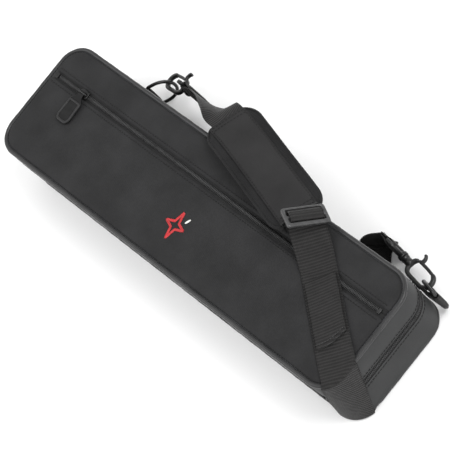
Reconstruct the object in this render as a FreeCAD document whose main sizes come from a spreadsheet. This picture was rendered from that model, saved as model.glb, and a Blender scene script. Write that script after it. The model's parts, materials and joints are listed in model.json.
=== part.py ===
import FreeCAD, Part
import math
import os
import Sketcher
from FreeCAD import Matrix, Placement, Rotation, Vector

# Slim padded carry case for telescope parts: a zipped, padded box in two halves joined by a
# cloth hinge, with piped edges, a front pocket and a padded shoulder strap on two snap hooks.
# Millimetres. X runs along the case, +Y to the strap side, +Z out of the front.
# The origin is the middle of the back face.

doc = FreeCAD.newDocument("telescope_carry_case")
sheet = doc.addObject("Spreadsheet::Sheet", "dims")
DIMENSIONS = [
    ("case_length", 420.0), ("case_width", 110.0), ("case_depth", 65.0), ("corner_radius", 22.0),
    ("zip_height", 36.0), ("cover", 1.2), ("cover_inset", 0.9), ("foam", 4.5), ("board", 1.0),
    ("lining", 0.8), ("piping_radius", 2.0), ("zip_gap", 1.6), ("coil_height", 1.2),
    ("coil_depth", 1.5), ("coil_inset", 0.5), ("tape_height", 1.8), ("tape_depth", 0.7),
    ("foam_stop", 6.0), ("pocket_zip_height", 21.0), ("pocket_zip_half", 4.0),
    ("pocket_coil_half", 1.5), ("pocket_coil_depth", 0.9), ("pocket_back", 0.5),
    ("hinge_tape_height", 10.0), ("hinge_tape_depth", 0.6), ("strap_width", 30.0),
    ("strap_thickness", 1.6), ("strap_clearance", 0.3), ("ring_wire", 3.0), ("ring_bow", 14.0),
    ("ring_straight", 6.8), ("ring_corner", 3.0), ("hook_half_width", 8.5),
    ("hook_bore_half", 4.7), ("hook_thickness", 4.0), ("hook_length", 36.3),
    ("eye_inner_width", 31.0), ("eye_inner_depth", 5.0), ("eye_bar", 3.0),
]
for row, (alias, value) in enumerate(DIMENSIONS, 1):
    sheet.set("A%d" % row, alias)
    sheet.set("B%d" % row, str(value))
    sheet.setAlias("B%d" % row, alias)
doc.recompute()
D = dict(DIMENSIONS)

L, W, H, R = D["case_length"], D["case_width"], D["case_depth"], D["corner_radius"]
ZIP = D["zip_height"]
NODES = {}


def x(text):
    """Write a dimension expression with the sheet's name in front of every alias."""
    words = []
    for word in text.split():
        bare = word.strip("(-)")
        words.append(word.replace(bare, "dims." + bare) if bare in D else word)
    return " ".join(words)


def body(label):
    item = doc.addObject("PartDesign::Body", label)
    item.Label = label
    return item


def sketch(owner, name, height=None, role="XY_Plane"):
    item = owner.newObject("Sketcher::SketchObject", owner.Name + "_" + name)
    plane = [f for f in owner.Origin.OriginFeatures if f.Role == role][0]
    item.AttachmentSupport = (plane, [""])
    item.MapMode = "FlatFace"
    if height:
        item.setExpression("AttachmentOffset.Base.z", x(height))
    return item


def name_constraint(item, name, constraint, expression):
    index = item.addConstraint(constraint)
    item.renameConstraint(index, name)
    item.setExpression("Constraints." + name, x(expression))


def rounded_rectangle(item, tag, length, width, radius):
    """Four lines and four tangent arcs about the sketch origin, sized by expressions."""
    hl, hw, r = 205.0, 50.0, 18.0
    first = item.GeometryCount
    corners = [(hl - r, hw - r, 0), (hl - r, r - hw, 270), (r - hl, r - hw, 180),
               (r - hl, hw - r, 90)]
    lines = [((r - hl, hw), (hl - r, hw)), ((hl, hw - r), (hl, r - hw)),
             ((hl - r, -hw), (r - hl, -hw)), ((-hl, r - hw), (-hl, hw - r))]
    for (ax, ay), (bx, by) in lines:
        item.addGeometry(Part.LineSegment(Vector(ax, ay, 0), Vector(bx, by, 0)), False)
    for cx, cy, start in corners:
        circle = Part.Circle(Vector(cx, cy, 0), Vector(0, 0, 1), r)
        item.addGeometry(Part.ArcOfCircle(circle, math.radians(start), math.radians(start + 90)), False)
    top, right, bottom, left, tr, br, bl, tl = range(first, first + 8)
    joins = [(top, 2, tr, 2), (right, 1, tr, 1), (right, 2, br, 2), (bottom, 1, br, 1),
             (bottom, 2, bl, 2), (left, 1, bl, 1), (left, 2, tl, 2), (top, 1, tl, 1)]
    item.addConstraint([Sketcher.Constraint("Tangent", *join) for join in joins])
    item.addConstraint([Sketcher.Constraint("Horizontal", top), Sketcher.Constraint("Horizontal", bottom),
                        Sketcher.Constraint("Vertical", left), Sketcher.Constraint("Vertical", right)])
    item.addConstraint([Sketcher.Constraint("Equal", tr, other) for other in (br, bl, tl)])
    item.addConstraint(Sketcher.Constraint("Symmetric", top, 1, bottom, 1, -1, 1))
    name_constraint(item, "length_" + tag, Sketcher.Constraint("DistanceX", left, 1, right, 2, 2 * hl), length)
    name_constraint(item, "width_" + tag, Sketcher.Constraint("DistanceY", bottom, 1, top, 2, 2 * hw), width)
    name_constraint(item, "radius_" + tag, Sketcher.Constraint("Radius", tr, r), radius)


def outline(item, tag, inset):
    rounded_rectangle(item, tag, "case_length - 2 * ( %s )" % inset,
                      "case_width - 2 * ( %s )" % inset, "corner_radius - ( %s )" % inset)


def pad(owner, item, name, length):
    feature = owner.newObject("PartDesign::Pad", owner.Name + "_" + name)
    feature.Profile = item
    feature.setExpression("Length", x(length))
    item.Visibility = False
    return feature


def pocket(owner, item, name, length):
    feature = owner.newObject("PartDesign::Pocket", owner.Name + "_" + name)
    feature.Profile = item
    feature.Reversed = True
    feature.setExpression("Length", x(length))
    item.Visibility = False
    return feature


def slab(label, inset, z, thickness):
    owner = body(label)
    item = sketch(owner, "outline", z)
    outline(item, "edge", inset)
    pad(owner, item, "pad", thickness)
    return owner


def ring(label, outer, inner, z, height):
    owner = body(label)
    item = sketch(owner, "outline", z)
    outline(item, "outer", outer)
    outline(item, "inner", inner)
    pad(owner, item, "pad", height)
    return owner


def box(name, x0, y0, z0, length, width, height):
    item = doc.addObject("Part::Box", name)
    sizes = (("Length", length), ("Width", width), ("Height", height), ("Placement.Base.x", x0),
             ("Placement.Base.y", y0), ("Placement.Base.z", z0))
    for prop, text in sizes:
        item.setExpression(prop, x(text))
    return item


def boolean(kind, name, base, tool):
    item = doc.addObject("Part::" + kind, name)
    item.Base, item.Tool = base, tool
    item.Label = name
    return item


def cut(name, base, tool):
    return boolean("Cut", name, base, tool)


def fuse(name, base, tool):
    return boolean("Fuse", name, base, tool)


def common(name, base, tool):
    return boolean("Common", name, base, tool)


def node(label, item):
    item.Label = label
    NODES[label] = item
    return item


def shape_node(label, shape):
    """A solid made with Part functions, for the folded and twisted pieces."""
    item = doc.addObject("Part::Feature", label)
    item.Shape = shape
    return node(label, item)


# --- the strap's run under the case, pressed into the back ---------------------------------------
RUN_START, RUN_DIR = Vector(201, -50, 0), Vector(-0.6, 0.8, 0)
RUN_ANGLE = math.degrees(math.atan2(RUN_DIR.y, RUN_DIR.x))


def run_box(name, half_width, height):
    """A box along the strap's run under the case, from the floor plane to the given height."""
    item = doc.addObject("Part::Box", name)
    side = Vector(RUN_DIR.y, -RUN_DIR.x, 0)
    item.Length = 220
    item.setExpression("Width", x("2 * ( %s )" % half_width))
    item.setExpression("Height", x("1 + " + height))
    width = D["strap_width"] / 2 + {"wide": D["cover"] + 0.5, "slot": 0.5}[name.split("_")[-1]]
    start = RUN_START - RUN_DIR * 30 + side * width
    item.Placement = Placement(start - Vector(0, 0, 1), Rotation(Vector(0, 0, 1), RUN_ANGLE))
    return item


CHANNEL = "strap_thickness + strap_clearance"
slot = run_box("strap_slot", "strap_width / 2 + 0.5", CHANNEL)
wide = run_box("strap_slot_wide", "strap_width / 2 + cover + 0.5", CHANNEL + " + cover")

# --- piping round the back and front edges -------------------------------------------------------


def piping(name, height):
    """A cord of round section swept round the case's edge."""
    owner = body(name)
    path = sketch(owner, "path", height)
    outline(path, "path", "piping_radius")
    section = sketch(owner, "section", None, "YZ_Plane")
    centre_y, centre_z = W / 2 - D["piping_radius"], D["piping_radius"]
    circle = Part.Circle(Vector(centre_y, centre_z, 0), Vector(0, 0, 1), D["piping_radius"])
    index = section.addGeometry(circle, False)
    name_constraint(section, "across", Sketcher.Constraint("DistanceX", -1, 1, index, 3, centre_y),
                    "case_width / 2 - piping_radius")
    name_constraint(section, "up", Sketcher.Constraint("DistanceY", -1, 1, index, 3, centre_z), height)
    name_constraint(section, "cord", Sketcher.Constraint("Radius", index, D["piping_radius"]),
                    "piping_radius")
    sweep = owner.newObject("PartDesign::AdditivePipe", name + "_sweep")
    sweep.Profile = section
    sweep.Spine = (path, [""])
    return owner


back_cord = piping("back_cord", "piping_radius")
node("back_piping", cut("back_piping", back_cord, slot))
front_cord = node("front_piping", piping("front_piping", "case_depth - piping_radius"))

# --- base half: panel, foam, board, lining, gusset -----------------------------------------------
INNER = "cover_inset + cover"
LINED = INNER + " + foam"
panel_flat = slab("back_panel_flat", "piping_radius", "0", "cover")
panel_rise = slab("back_panel_rise", "piping_radius", "0", CHANNEL + " + cover")
panel_over = common("back_panel_over", panel_rise, wide)
panel_slot = cut("back_panel_slot", fuse("back_panel_full", panel_flat, panel_over), slot)
node("back_panel", cut("back_panel", panel_slot, back_cord))
foam_slab = slab("back_foam_slab", "2 * piping_radius + 0.2", "cover", "foam")
node("back_foam", cut("back_foam", foam_slab, wide))
node("back_board", slab("back_board", LINED, "cover + foam", "board"))

gusset_ring = ring("base_gusset_ring", "cover_inset", INNER, "piping_radius",
                   "zip_height - zip_gap / 2 - coil_height - tape_height - piping_radius")
item = sketch(gusset_ring, "hinge_side", "zip_height - zip_gap / 2 - coil_height - tape_height - 0.5")


def rectangle(item, tag, half_length, low, height):
    """A rectangle centred in X, its lower edge at `low`, bound to expressions."""
    hl, y0, y1 = 180.0, -60.0, -50.0
    first = item.GeometryCount
    points = [Vector(-hl, y0, 0), Vector(hl, y0, 0), Vector(hl, y1, 0), Vector(-hl, y1, 0)]
    for i in range(4):
        item.addGeometry(Part.LineSegment(points[i], points[(i + 1) % 4]), False)
    a, b, c, d = range(first, first + 4)
    item.addConstraint([Sketcher.Constraint("Coincident", i, 2, j, 1)
                        for i, j in ((a, b), (b, c), (c, d), (d, a))])
    item.addConstraint([Sketcher.Constraint("Horizontal", c), Sketcher.Constraint("Vertical", b),
                        Sketcher.Constraint("Vertical", d)])
    item.addConstraint(Sketcher.Constraint("Symmetric", a, 1, a, 2, -2))
    name_constraint(item, "half_" + tag, Sketcher.Constraint("DistanceX", -1, 1, a, 2, hl), half_length)
    name_constraint(item, "low_" + tag, Sketcher.Constraint("DistanceY", a, 1, -1, 1, -y0), low)
    name_constraint(item, "high_" + tag, Sketcher.Constraint("DistanceY", b, 1, b, 2, y1 - y0), height)


rectangle(item, "hinge", "case_length / 2 - corner_radius", "case_width / 2 - cover_inset", "cover")
pad(gusset_ring, item, "hinge_pad", "coil_height + tape_height + zip_gap / 2 + 0.1")
node("base_gusset", cut("base_gusset", gusset_ring, back_cord))
node("base_wall_foam", ring("base_wall_foam", INNER, LINED, "cover + foam",
                            "zip_height - foam_stop - cover - foam"))


def tub(label, wall_z, wall_height, floor_z, flange_z):
    """A lining: floor, walls inside the wall foam, and a flange over the foam's end."""
    owner = body(label)
    item = sketch(owner, "walls", wall_z)
    outline(item, "outer", LINED)
    outline(item, "inner", LINED + " + lining")
    pad(owner, item, "wall_pad", wall_height)
    floor = sketch(owner, "floor", floor_z)
    outline(floor, "floor", LINED)
    pad(owner, floor, "floor_pad", "lining")
    flange = sketch(owner, "flange", flange_z)
    outline(flange, "flange_outer", INNER)
    outline(flange, "flange_inner", LINED + " + lining")
    pad(owner, flange, "flange_pad", "lining")
    return owner


FLOOR = "cover + foam + board"
node("base_lining", tub("base_lining", FLOOR, "zip_height - foam_stop + lining - ( %s )" % FLOOR,
                        FLOOR, "zip_height - foam_stop"))

# --- lid half ---------------------------------------------------------------------------------------
POCKET_TOP = "case_depth - 0.1"
LID_SKIN = "case_depth - 0.1 - cover - pocket_back"
lid_ring = ring("lid_gusset_ring", "cover_inset", INNER,
                "zip_height + zip_gap / 2 + coil_height + tape_height",
                "case_depth - piping_radius - zip_height - zip_gap / 2 - coil_height - tape_height")
item = sketch(lid_ring, "hinge_side", "zip_height + 0.4")
rectangle(item, "hinge", "case_length / 2 - corner_radius", "case_width / 2 - cover_inset", "cover")
pad(lid_ring, item, "hinge_pad", "coil_height + tape_height + zip_gap / 2 + 0.1")
node("lid_gusset", cut("lid_gusset", lid_ring, front_cord))
node("lid_wall_foam", ring("lid_wall_foam", INNER, LINED, "zip_height + foam_stop",
                           LID_SKIN + " - foam - zip_height - foam_stop"))
node("front_foam", slab("front_foam", "2 * piping_radius + 0.2", LID_SKIN + " - foam", "foam"))
node("front_board", slab("front_board", LINED, LID_SKIN + " - foam - board", "board"))
LID_FLOOR = LID_SKIN + " - foam - board - lining"
node("lid_lining", tub("lid_lining", "zip_height + foam_stop - lining",
                       LID_FLOOR + " - zip_height - foam_stop + 2 * lining", LID_FLOOR,
                       "zip_height + foam_stop - lining"))
pocket_sheet = slab("pocket_backing_slab", "piping_radius", LID_SKIN, "pocket_back")
node("pocket_backing", cut("pocket_backing", pocket_sheet, front_cord))

# Front cover in two pieces, either side of the pocket's zip.
face = slab("front_face", "piping_radius", LID_SKIN + " + pocket_back", "cover")
face_trim = cut("front_face_trimmed", face, front_cord)
Z_FACE = LID_SKIN + " + pocket_back"
above = box("above_zip", "-case_length / 2", "pocket_zip_height + pocket_zip_half", Z_FACE,
            "case_length", "case_width / 2", "cover")
below = box("below_zip", "-case_length / 2", "-case_width / 2", Z_FACE, "case_length",
            "case_width / 2 + pocket_zip_height - pocket_zip_half", "cover")
node("front_panel_upper", common("front_panel_upper", face_trim, above))
node("pocket_panel", common("pocket_panel", face_trim, below))

# Pocket zip: two tapes, one coil on each, and a stop at each end.
ZIP_RUN = "case_length - 4 * piping_radius - 2"
ZIP_X0 = "-case_length / 2 + 2 * piping_radius + 1"
TAPE_WIDE = "pocket_zip_half - 0.1"
node("pocket_tape_upper", box("pocket_tape_upper", ZIP_X0, "pocket_zip_height + 0.1", Z_FACE,
                              ZIP_RUN, TAPE_WIDE, "tape_depth"))
node("pocket_tape_lower", box("pocket_tape_lower", ZIP_X0, "pocket_zip_height - pocket_zip_half",
                              Z_FACE, ZIP_RUN, TAPE_WIDE, "tape_depth"))
COIL_X0 = "-case_length / 2 + 2 * piping_radius + 9"
COIL_RUN = "case_length - 4 * piping_radius - 18"
COIL_Z = Z_FACE + " + tape_depth"
node("pocket_coil_upper", box("pocket_coil_upper", COIL_X0, "pocket_zip_height + 0.1", COIL_Z,
                              COIL_RUN, "pocket_coil_half - 0.1", "pocket_coil_depth"))
node("pocket_coil_lower", box("pocket_coil_lower", COIL_X0, "pocket_zip_height - pocket_coil_half",
                              COIL_Z, COIL_RUN, "pocket_coil_half - 0.1", "pocket_coil_depth"))
for side, stop_x in (("left", "-case_length / 2 + 2 * piping_radius + 5"),
                     ("right", "case_length / 2 - 2 * piping_radius - 8")):
    node("pocket_stop_" + side, box("pocket_stop_" + side, stop_x, "pocket_zip_height - 2.2",
                                    COIL_Z, "3", "4.4", "1.4"))

# --- main zip: tape and coil on three sides of each half -------------------------------------------


def three_sides(label, outer, inner, z, height):
    """A ring with its hinge side taken away, leaving the two ends and the strap side."""
    owner = ring(label, outer, inner, z, height)
    item = sketch(owner, "hinge_gap", z)
    rectangle(item, "gap", "case_length / 2 - corner_radius", "case_width / 2 + 1", "9")
    pocket(owner, item, "gap_cut", height)
    return node(label, owner)


TAPE_OUT = "cover_inset + 0.3"
TAPE_IN = TAPE_OUT + " + tape_depth"
three_sides("base_zip_tape", TAPE_OUT, TAPE_IN,
            "zip_height - zip_gap / 2 - coil_height - tape_height", "tape_height")
three_sides("base_zip_coil", "coil_inset", "coil_inset + coil_depth",
            "zip_height - zip_gap / 2 - coil_height", "coil_height")
three_sides("lid_zip_tape", TAPE_OUT, TAPE_IN, "zip_height + zip_gap / 2 + coil_height", "tape_height")
three_sides("lid_zip_coil", "coil_inset", "coil_inset + coil_depth", "zip_height + zip_gap / 2",
            "coil_height")
node("hinge_tape", box("hinge_tape", "-case_length / 2 + corner_radius",
                       "-case_width / 2 + cover_inset - hinge_tape_depth - 0.05",
                       "zip_height - hinge_tape_height / 2", "case_length - 2 * corner_radius",
                       "hinge_tape_depth", "hinge_tape_height"))

# --- zip sliders and pulls --------------------------------------------------------------------------


def prism(points, depth, holes=()):
    """An outline in X and Y (with round holes) extruded by depth in Z."""
    wire = Part.makePolygon([Vector(px, py, 0) for px, py in points + points[:1]])
    solid = Part.Face(wire).extrude(Vector(0, 0, depth))
    for hx, hy, hr in holes:
        solid = solid.cut(Part.makeCylinder(hr, depth + 2, Vector(hx, hy, -1)))
    return solid


def block(x0, y0, z0, dx, dy, dz):
    return Part.makeBox(dx, dy, dz, Vector(x0, y0, z0))


def pull_tab(length, neck, wide, thick):
    """A moulded pull: a slotted neck that hangs on the slider's bail, and a broad raised-rim tab.

    The bail's axis is X through the origin; the tab runs toward -Y and is `thick` deep in Z."""
    outline_points = [(-neck, 2.4), (neck, 2.4), (neck, -4.5), (wide, -9), (wide, -length + 2),
                      (wide - 2, -length), (2 - wide, -length), (-wide, -length + 2), (-wide, -9),
                      (-neck, -4.5)]
    tab = prism(outline_points, thick)
    tab.translate(Vector(0, 0, -thick / 2))
    dish = block(1.2 - wide, -length + 1.4, thick / 2 - 0.5, 2 * wide - 2.4, length - 11.5, 1)
    window = block(-neck + 1.1, -2.9, -thick, 2 * neck - 2.2, 4.0, 2 * thick)
    return tab.cut(dish).cut(window)


# Pocket slider: runs on top of the coil; its bail bar carries the pull.
POCKET_X, POCKET_Y = -163.0, D["pocket_zip_height"]
COIL_TOP = H - 0.1 - D["cover"] + D["tape_depth"] + D["pocket_coil_depth"]
PULL_Z = COIL_TOP + 3.7


def slider_plate(width_fore, width_aft, length, thick):
    half = length / 2
    return prism([(-half, width_fore), (half, width_aft), (half, -width_aft), (-half, -width_fore)],
                 thick)


plate = slider_plate(3.6, 2.9, 11.0, 1.1)
plate.translate(Vector(0, 0, 0.3))
for sign in (-1, 1):
    plate = plate.fuse(block(-5.0, sign * 2.4 - 0.5, -0.75, 10, 1.0, 1.35))
lugs = [block(x0, -0.9, 1.2, 1.2, 1.8, 2.5) for x0 in (-4.6, 3.4)]
bar = Part.makeCylinder(0.8, 9.2, Vector(-4.6, 0, 3.7), Vector(1, 0, 0))
pocket_slider = plate.fuse(lugs + [bar]).removeSplitter()
pocket_slider.translate(Vector(POCKET_X, POCKET_Y, COIL_TOP))
shape_node("pocket_slider", pocket_slider)


def pull_on_bar(length, neck, wide, thick):
    """A pull whose eye rides on the bail bar between the lugs."""
    shape = pull_tab(length, neck, wide, thick)
    eye = Part.makeCylinder(1.9, 2 * neck, Vector(-neck, 0, 0), Vector(1, 0, 0))
    hole = Part.makeCylinder(1.1, 2 * neck + 2, Vector(-neck - 1, 0, 0), Vector(1, 0, 0))
    front = block(-neck, 1.0, -thick, 2 * neck, 3, 2 * thick)
    plug = block(-neck, -3.0, -thick / 2, 2 * neck, 3.0, thick)
    return shape.cut(front).fuse([plug, eye]).cut(hole).removeSplitter()


pocket_pull = pull_on_bar(30.0, 3.0, 8.0, 1.8)
pocket_pull.rotate(Vector(0, 0, 0), Vector(1, 0, 0), 2.0)
pocket_pull.translate(Vector(POCKET_X, POCKET_Y, PULL_Z))
shape_node("pocket_pull", pocket_pull)

# Main sliders: an outer plate and an inner plate joined by a thin post between the coils.
SLIDER_STARTS = (("left", -14.0), ("right", 14.0))
SIDE = W / 2
for side, start in SLIDER_STARTS:
    nose = -1 if side == "left" else 1
    outer = slider_plate(4.2, 4.2, 11.0, 1.1)
    outer.rotate(Vector(0, 0, 0), Vector(1, 0, 0), -90)
    outer.translate(Vector(0, 0.1, 0))
    inner = block(-5.0, -3.4, -3.6, 10, 0.8, 7.2)
    post = block(-2.5, -3.0, -0.35, 5, 3.4, 0.7)
    lugs = [block(x0, 1.0, -0.9, 1.2, 2.7, 1.8) for x0 in (-4.4, 3.2)]
    bar = Part.makeCylinder(0.8, 8.8, Vector(-4.4, 3.6, 0), Vector(1, 0, 0))
    slider = outer.fuse([inner, post, bar] + lugs).removeSplitter()
    slider.translate(Vector(start, SIDE - 0.1, ZIP))
    shape_node("main_slider_" + side, slider)
    tab = pull_on_bar(25.0, 2.8, 5.0, 1.6)
    tab.rotate(Vector(0, 0, 0), Vector(1, 0, 0), 90)
    tab.translate(Vector(start, SIDE + 3.5, ZIP))
    shape_node("main_pull_" + side, tab)

# --- badge: an embroidered four-pointed star, open in the middle ------------------------------------


def star(reach_x, reach_y, waist):
    tips = [(0, reach_y), (waist, waist), (reach_x, 0), (waist, -waist)]
    return prism(tips + [(-px, -py) for px, py in tips], 0.6)


badge = star(12.0, 14.0, 3.6).cut(star(6.5, 8.0, 1.8))
badge.translate(Vector(-2, -20, H - 0.1))
shape_node("badge", badge)

# --- D-rings on sewn tabs -----------------------------------------------------------------------------


def frame_at(origin, u, v):
    """A placement whose X axis is u and whose Y axis is v made square to it."""
    u = Vector(u).normalize()
    w = u.cross(Vector(v)).normalize()
    v = w.cross(u)
    m = Matrix(u.x, v.x, w.x, origin.x, u.y, v.y, w.y, origin.y, u.z, v.z, w.z, origin.z, 0, 0, 0, 1)
    return Placement(m)


def d_ring(label):
    """A wire D in its own XY plane: the straight bar lies along Y at the origin, the bow at +X."""
    owner = body(label)
    path = sketch(owner, "path")
    bow, run, corner = D["ring_bow"], D["ring_straight"], D["ring_corner"]
    v = Vector
    arc = Part.ArcOfCircle
    path.addGeometry(Part.LineSegment(v(0, bow - corner, 0), v(0, corner - bow, 0)), False)
    path.addGeometry(arc(Part.Circle(v(corner, corner - bow, 0), v(0, 0, 1), corner),
                         math.pi, 1.5 * math.pi), False)
    path.addGeometry(Part.LineSegment(v(corner, -bow, 0), v(run, -bow, 0)), False)
    path.addGeometry(arc(Part.Circle(v(run, 0, 0), v(0, 0, 1), bow), -math.pi / 2, math.pi / 2), False)
    path.addGeometry(Part.LineSegment(v(run, bow, 0), v(corner, bow, 0)), False)
    path.addGeometry(arc(Part.Circle(v(corner, bow - corner, 0), v(0, 0, 1), corner),
                         math.pi / 2, math.pi), False)
    joins = [(0, 2, 1, 1), (1, 2, 2, 1), (2, 2, 3, 1), (3, 2, 4, 1), (4, 2, 5, 1), (5, 2, 0, 1)]
    path.addConstraint([Sketcher.Constraint("Tangent", *join) for join in joins])
    path.addConstraint(Sketcher.Constraint("Vertical", 0))
    path.addConstraint(Sketcher.Constraint("Horizontal", 2))
    path.addConstraint(Sketcher.Constraint("Symmetric", 0, 1, 0, 2, -1, 1))
    path.addConstraint(Sketcher.Constraint("Equal", 1, 5))
    name_constraint(path, "bow", Sketcher.Constraint("Radius", 3, bow), "ring_bow")
    name_constraint(path, "corner", Sketcher.Constraint("Radius", 1, corner), "ring_corner")
    name_constraint(path, "run", Sketcher.Constraint("DistanceX", -1, 1, 3, 3, run), "ring_straight")
    section = sketch(owner, "section", None, "XZ_Plane")
    index = section.addGeometry(Part.Circle(v(0, 0, 0), v(0, 0, 1), D["ring_wire"] / 2), False)
    section.addConstraint(Sketcher.Constraint("Coincident", index, 3, -1, 1))
    name_constraint(section, "wire", Sketcher.Constraint("Diameter", index, D["ring_wire"]), "ring_wire")
    sweep = owner.newObject("PartDesign::AdditivePipe", label + "_sweep")
    sweep.Profile = section
    sweep.Spine = (path, [""])
    return node(label, owner)


RING_Z = 19.0
# Bar position, the way the strap pulls, and how far each ring stands off the wall.
RINGS = {"left": (-142.5, 1, math.radians(60.0)), "right": (206.4, -1, math.radians(12.0))}
BAR_Y = SIDE + 2.6
TAB_HALF = 12.0
for side, (bar_x, way, tilt) in RINGS.items():
    ring_body = d_ring("d_ring_" + side)
    u = Vector(way * math.cos(tilt), math.sin(tilt), 0)
    ring_body.Placement = frame_at(Vector(bar_x, BAR_Y, RING_Z), u, Vector(0, 0, 1))
    # The tab lies on the gusset, turns round the ring's bar and comes back to the gusset.
    wire, thick, y0 = D["ring_wire"] / 2 + 0.2, 1.0, SIDE - D["cover_inset"]
    z0, tall = RING_Z - TAB_HALF, 2 * TAB_HALF - 4
    loop = Part.makeCylinder(wire + thick, tall, Vector(bar_x, BAR_Y, z0 + 2))
    loop = loop.cut(Part.makeCylinder(wire, tall + 2, Vector(bar_x, BAR_Y, z0 + 1)))
    reach = 15.0
    low = bar_x - reach
    tail = block(low, BAR_Y - wire - thick, z0 + 2, reach, thick, tall)
    sewn = block(low, y0, z0 + 2, reach, BAR_Y - wire - thick - y0 + 0.01, tall)
    shape_node("d_ring_tab_" + side, loop.fuse([tail, sewn]).removeSplitter())

# --- swivel snap hooks ------------------------------------------------------------------------------
HOOK_HALF, BORE_HALF, HOOK_T = D["hook_half_width"], D["hook_bore_half"], D["hook_thickness"]
TIP, BORE_END = D["hook_length"], D["hook_length"] - 3.6
GATE_PIVOT = (13.5, 6.6)


def stadium(u0, u1, half, thick):
    """A rounded slot shape from u0 to u1 along X, centred on the XY plane."""
    middle = block(u0 + half, -half, -thick / 2, u1 - u0 - 2 * half, 2 * half, thick)
    ends = [Part.makeCylinder(half, thick, Vector(c, 0, -thick / 2)) for c in (u0 + half, u1 - half)]
    return middle.fuse(ends).removeSplitter()


def snap_hook():
    """The hook in its own frame: X runs from the swivel to the tip, the gate is on the +Y side."""
    hook = stadium(6.0, TIP, HOOK_HALF, HOOK_T).cut(stadium(10.6, BORE_END, BORE_HALF, HOOK_T + 2))
    hook = hook.cut(block(10.4, 3.6, -HOOK_T, 17.6, 8, 2 * HOOK_T))
    neck = Part.makeCylinder(3.6, 7.5, Vector(0.4, 0, 0), Vector(1, 0, 0))
    pin = Part.makeCylinder(1.7, 5.0, Vector(-3.9, 0, 0), Vector(1, 0, 0))
    return hook.fuse([neck, pin]).removeSplitter()


def snap_gate():
    """The sprung gate that closes the hook's mouth, with its thumb lever."""
    bar = block(12.0, 5.0, -HOOK_T / 2 + 0.5, 15.6, 3.2, HOOK_T - 1)
    heel = Part.makeCylinder(1.7, HOOK_T - 1, Vector(GATE_PIVOT[0], GATE_PIVOT[1], -HOOK_T / 2 + 0.5))
    lever = prism([(13.0, 7.5), (18.0, 7.5), (14.5, 13.0), (11.5, 13.0)], HOOK_T - 1)
    lever.translate(Vector(0, 0, -HOOK_T / 2 + 0.5))
    return bar.fuse([heel, lever]).removeSplitter()


def snap_eye():
    """The strap loop: a swivel pin and cup, and a rectangular frame standing in the XZ plane."""
    wide, deep, bar = D["eye_inner_width"] / 2, D["eye_inner_depth"], D["eye_bar"]
    frame = block(-5.0 - deep - bar, -1.5, -wide - bar, deep + 2 * bar, 3.0, 2 * (wide + bar))
    frame = frame.cut(block(-5.0 - deep, -3, -wide, deep, 6, 2 * wide))
    cup = Part.makeCylinder(4.2, 4.0, Vector(-4.0, 0, 0), Vector(1, 0, 0))
    bore = Part.makeCylinder(1.75, 4.0, Vector(-4.0, 0, 0), Vector(1, 0, 0))
    return frame.fuse(cup).cut(bore).removeSplitter()


def hook_frame(side):
    """Where each hook hangs: its tip end round the ring's bow, its long axis toward the strap."""
    bar_x, way, tilt = RINGS[side]
    lift, lean = (math.radians(20.0), 0.0) if side == "left" else (0.0, 0.17)
    bow_x = D["ring_straight"] + D["ring_bow"] * math.cos(lift)
    ring_point = Vector(bar_x + way * bow_x * math.cos(tilt),
                        BAR_Y + bow_x * math.sin(tilt), RING_Z + D["ring_bow"] * math.sin(lift))
    pull = Vector(way * math.cos(lift), lean, math.sin(lift)).normalize()
    across = Vector(0, 1, 0)
    axis_point = ring_point + Vector(0, 1.5, 0)
    origin = axis_point + pull * (BORE_END - 1.2 - D["ring_wire"] / 2)
    return frame_at(origin, pull * -1, across), pull


HOOKS = {}
for side in ("left", "right"):
    place, pull = hook_frame(side)
    HOOKS[side] = place
    for name, shape in (("hook_" + side, snap_hook()), ("gate_" + side, snap_gate()),
                        ("eye_" + side, snap_eye())):
        item = shape_node(name, shape)
        item.Placement = place

# --- strap webbing and pad ----------------------------------------------------------------------------


def ribbon(stations, width, thick, smooth=True):
    """A flat strip through stations of (centre, across, normal); a closed solid."""
    wires = []
    for centre, across, normal in stations:
        a = Vector(across).normalize()
        n = Vector(normal)
        n = (n - a * a.dot(n)).normalize()
        c = Vector(centre)
        a, n = a * (width / 2), n * (thick / 2)
        corners = [c + a + n, c - a + n, c - a - n, c + a - n]
        wires.append(Part.makePolygon(corners + corners[:1]))
    return Part.makeLoft(wires, True, not smooth)


SW, ST, GAP = D["strap_width"], D["strap_thickness"], D["strap_clearance"]
FRONT_DIR = Vector(0.805, -0.593, 0).normalize()
FRONT_SIDE = Vector(0.593, 0.805, 0).normalize()
FRONT_Z = H + 0.6 + ST / 2


def case_prism(offset, z0, z1):
    """The case's outline grown by offset, as a solid between two heights."""
    hl, hw, r = L / 2 + offset, W / 2 + offset, R + offset
    solid = block(-hl, -hw, z0, 2 * hl, 2 * hw, z1 - z0)
    corners = [e for e in solid.Edges if abs(e.Vertexes[0].X - e.Vertexes[1].X) < 1e-6
               and abs(e.Vertexes[0].Y - e.Vertexes[1].Y) < 1e-6]
    return solid.makeFillet(r, corners)


# Corner wrap: a band of the offset outline between two slanting cuts.
band = case_prism(GAP + ST, 0, FRONT_Z + ST / 2).cut(case_prism(GAP, -1, H + 3))
high = [(180, -30), (226.4, -14.6), (220.4, -64.7)]
low = [(185, -30), (229.5, -50.6), (183.2, -75)]
wedge = Part.makeLoft([Part.makePolygon([Vector(px, py, z) for px, py in pts + pts[:1]])
                       for pts, z in ((high, H + 2), (low, -1))], True, True)
band = band.common(wedge)

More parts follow.
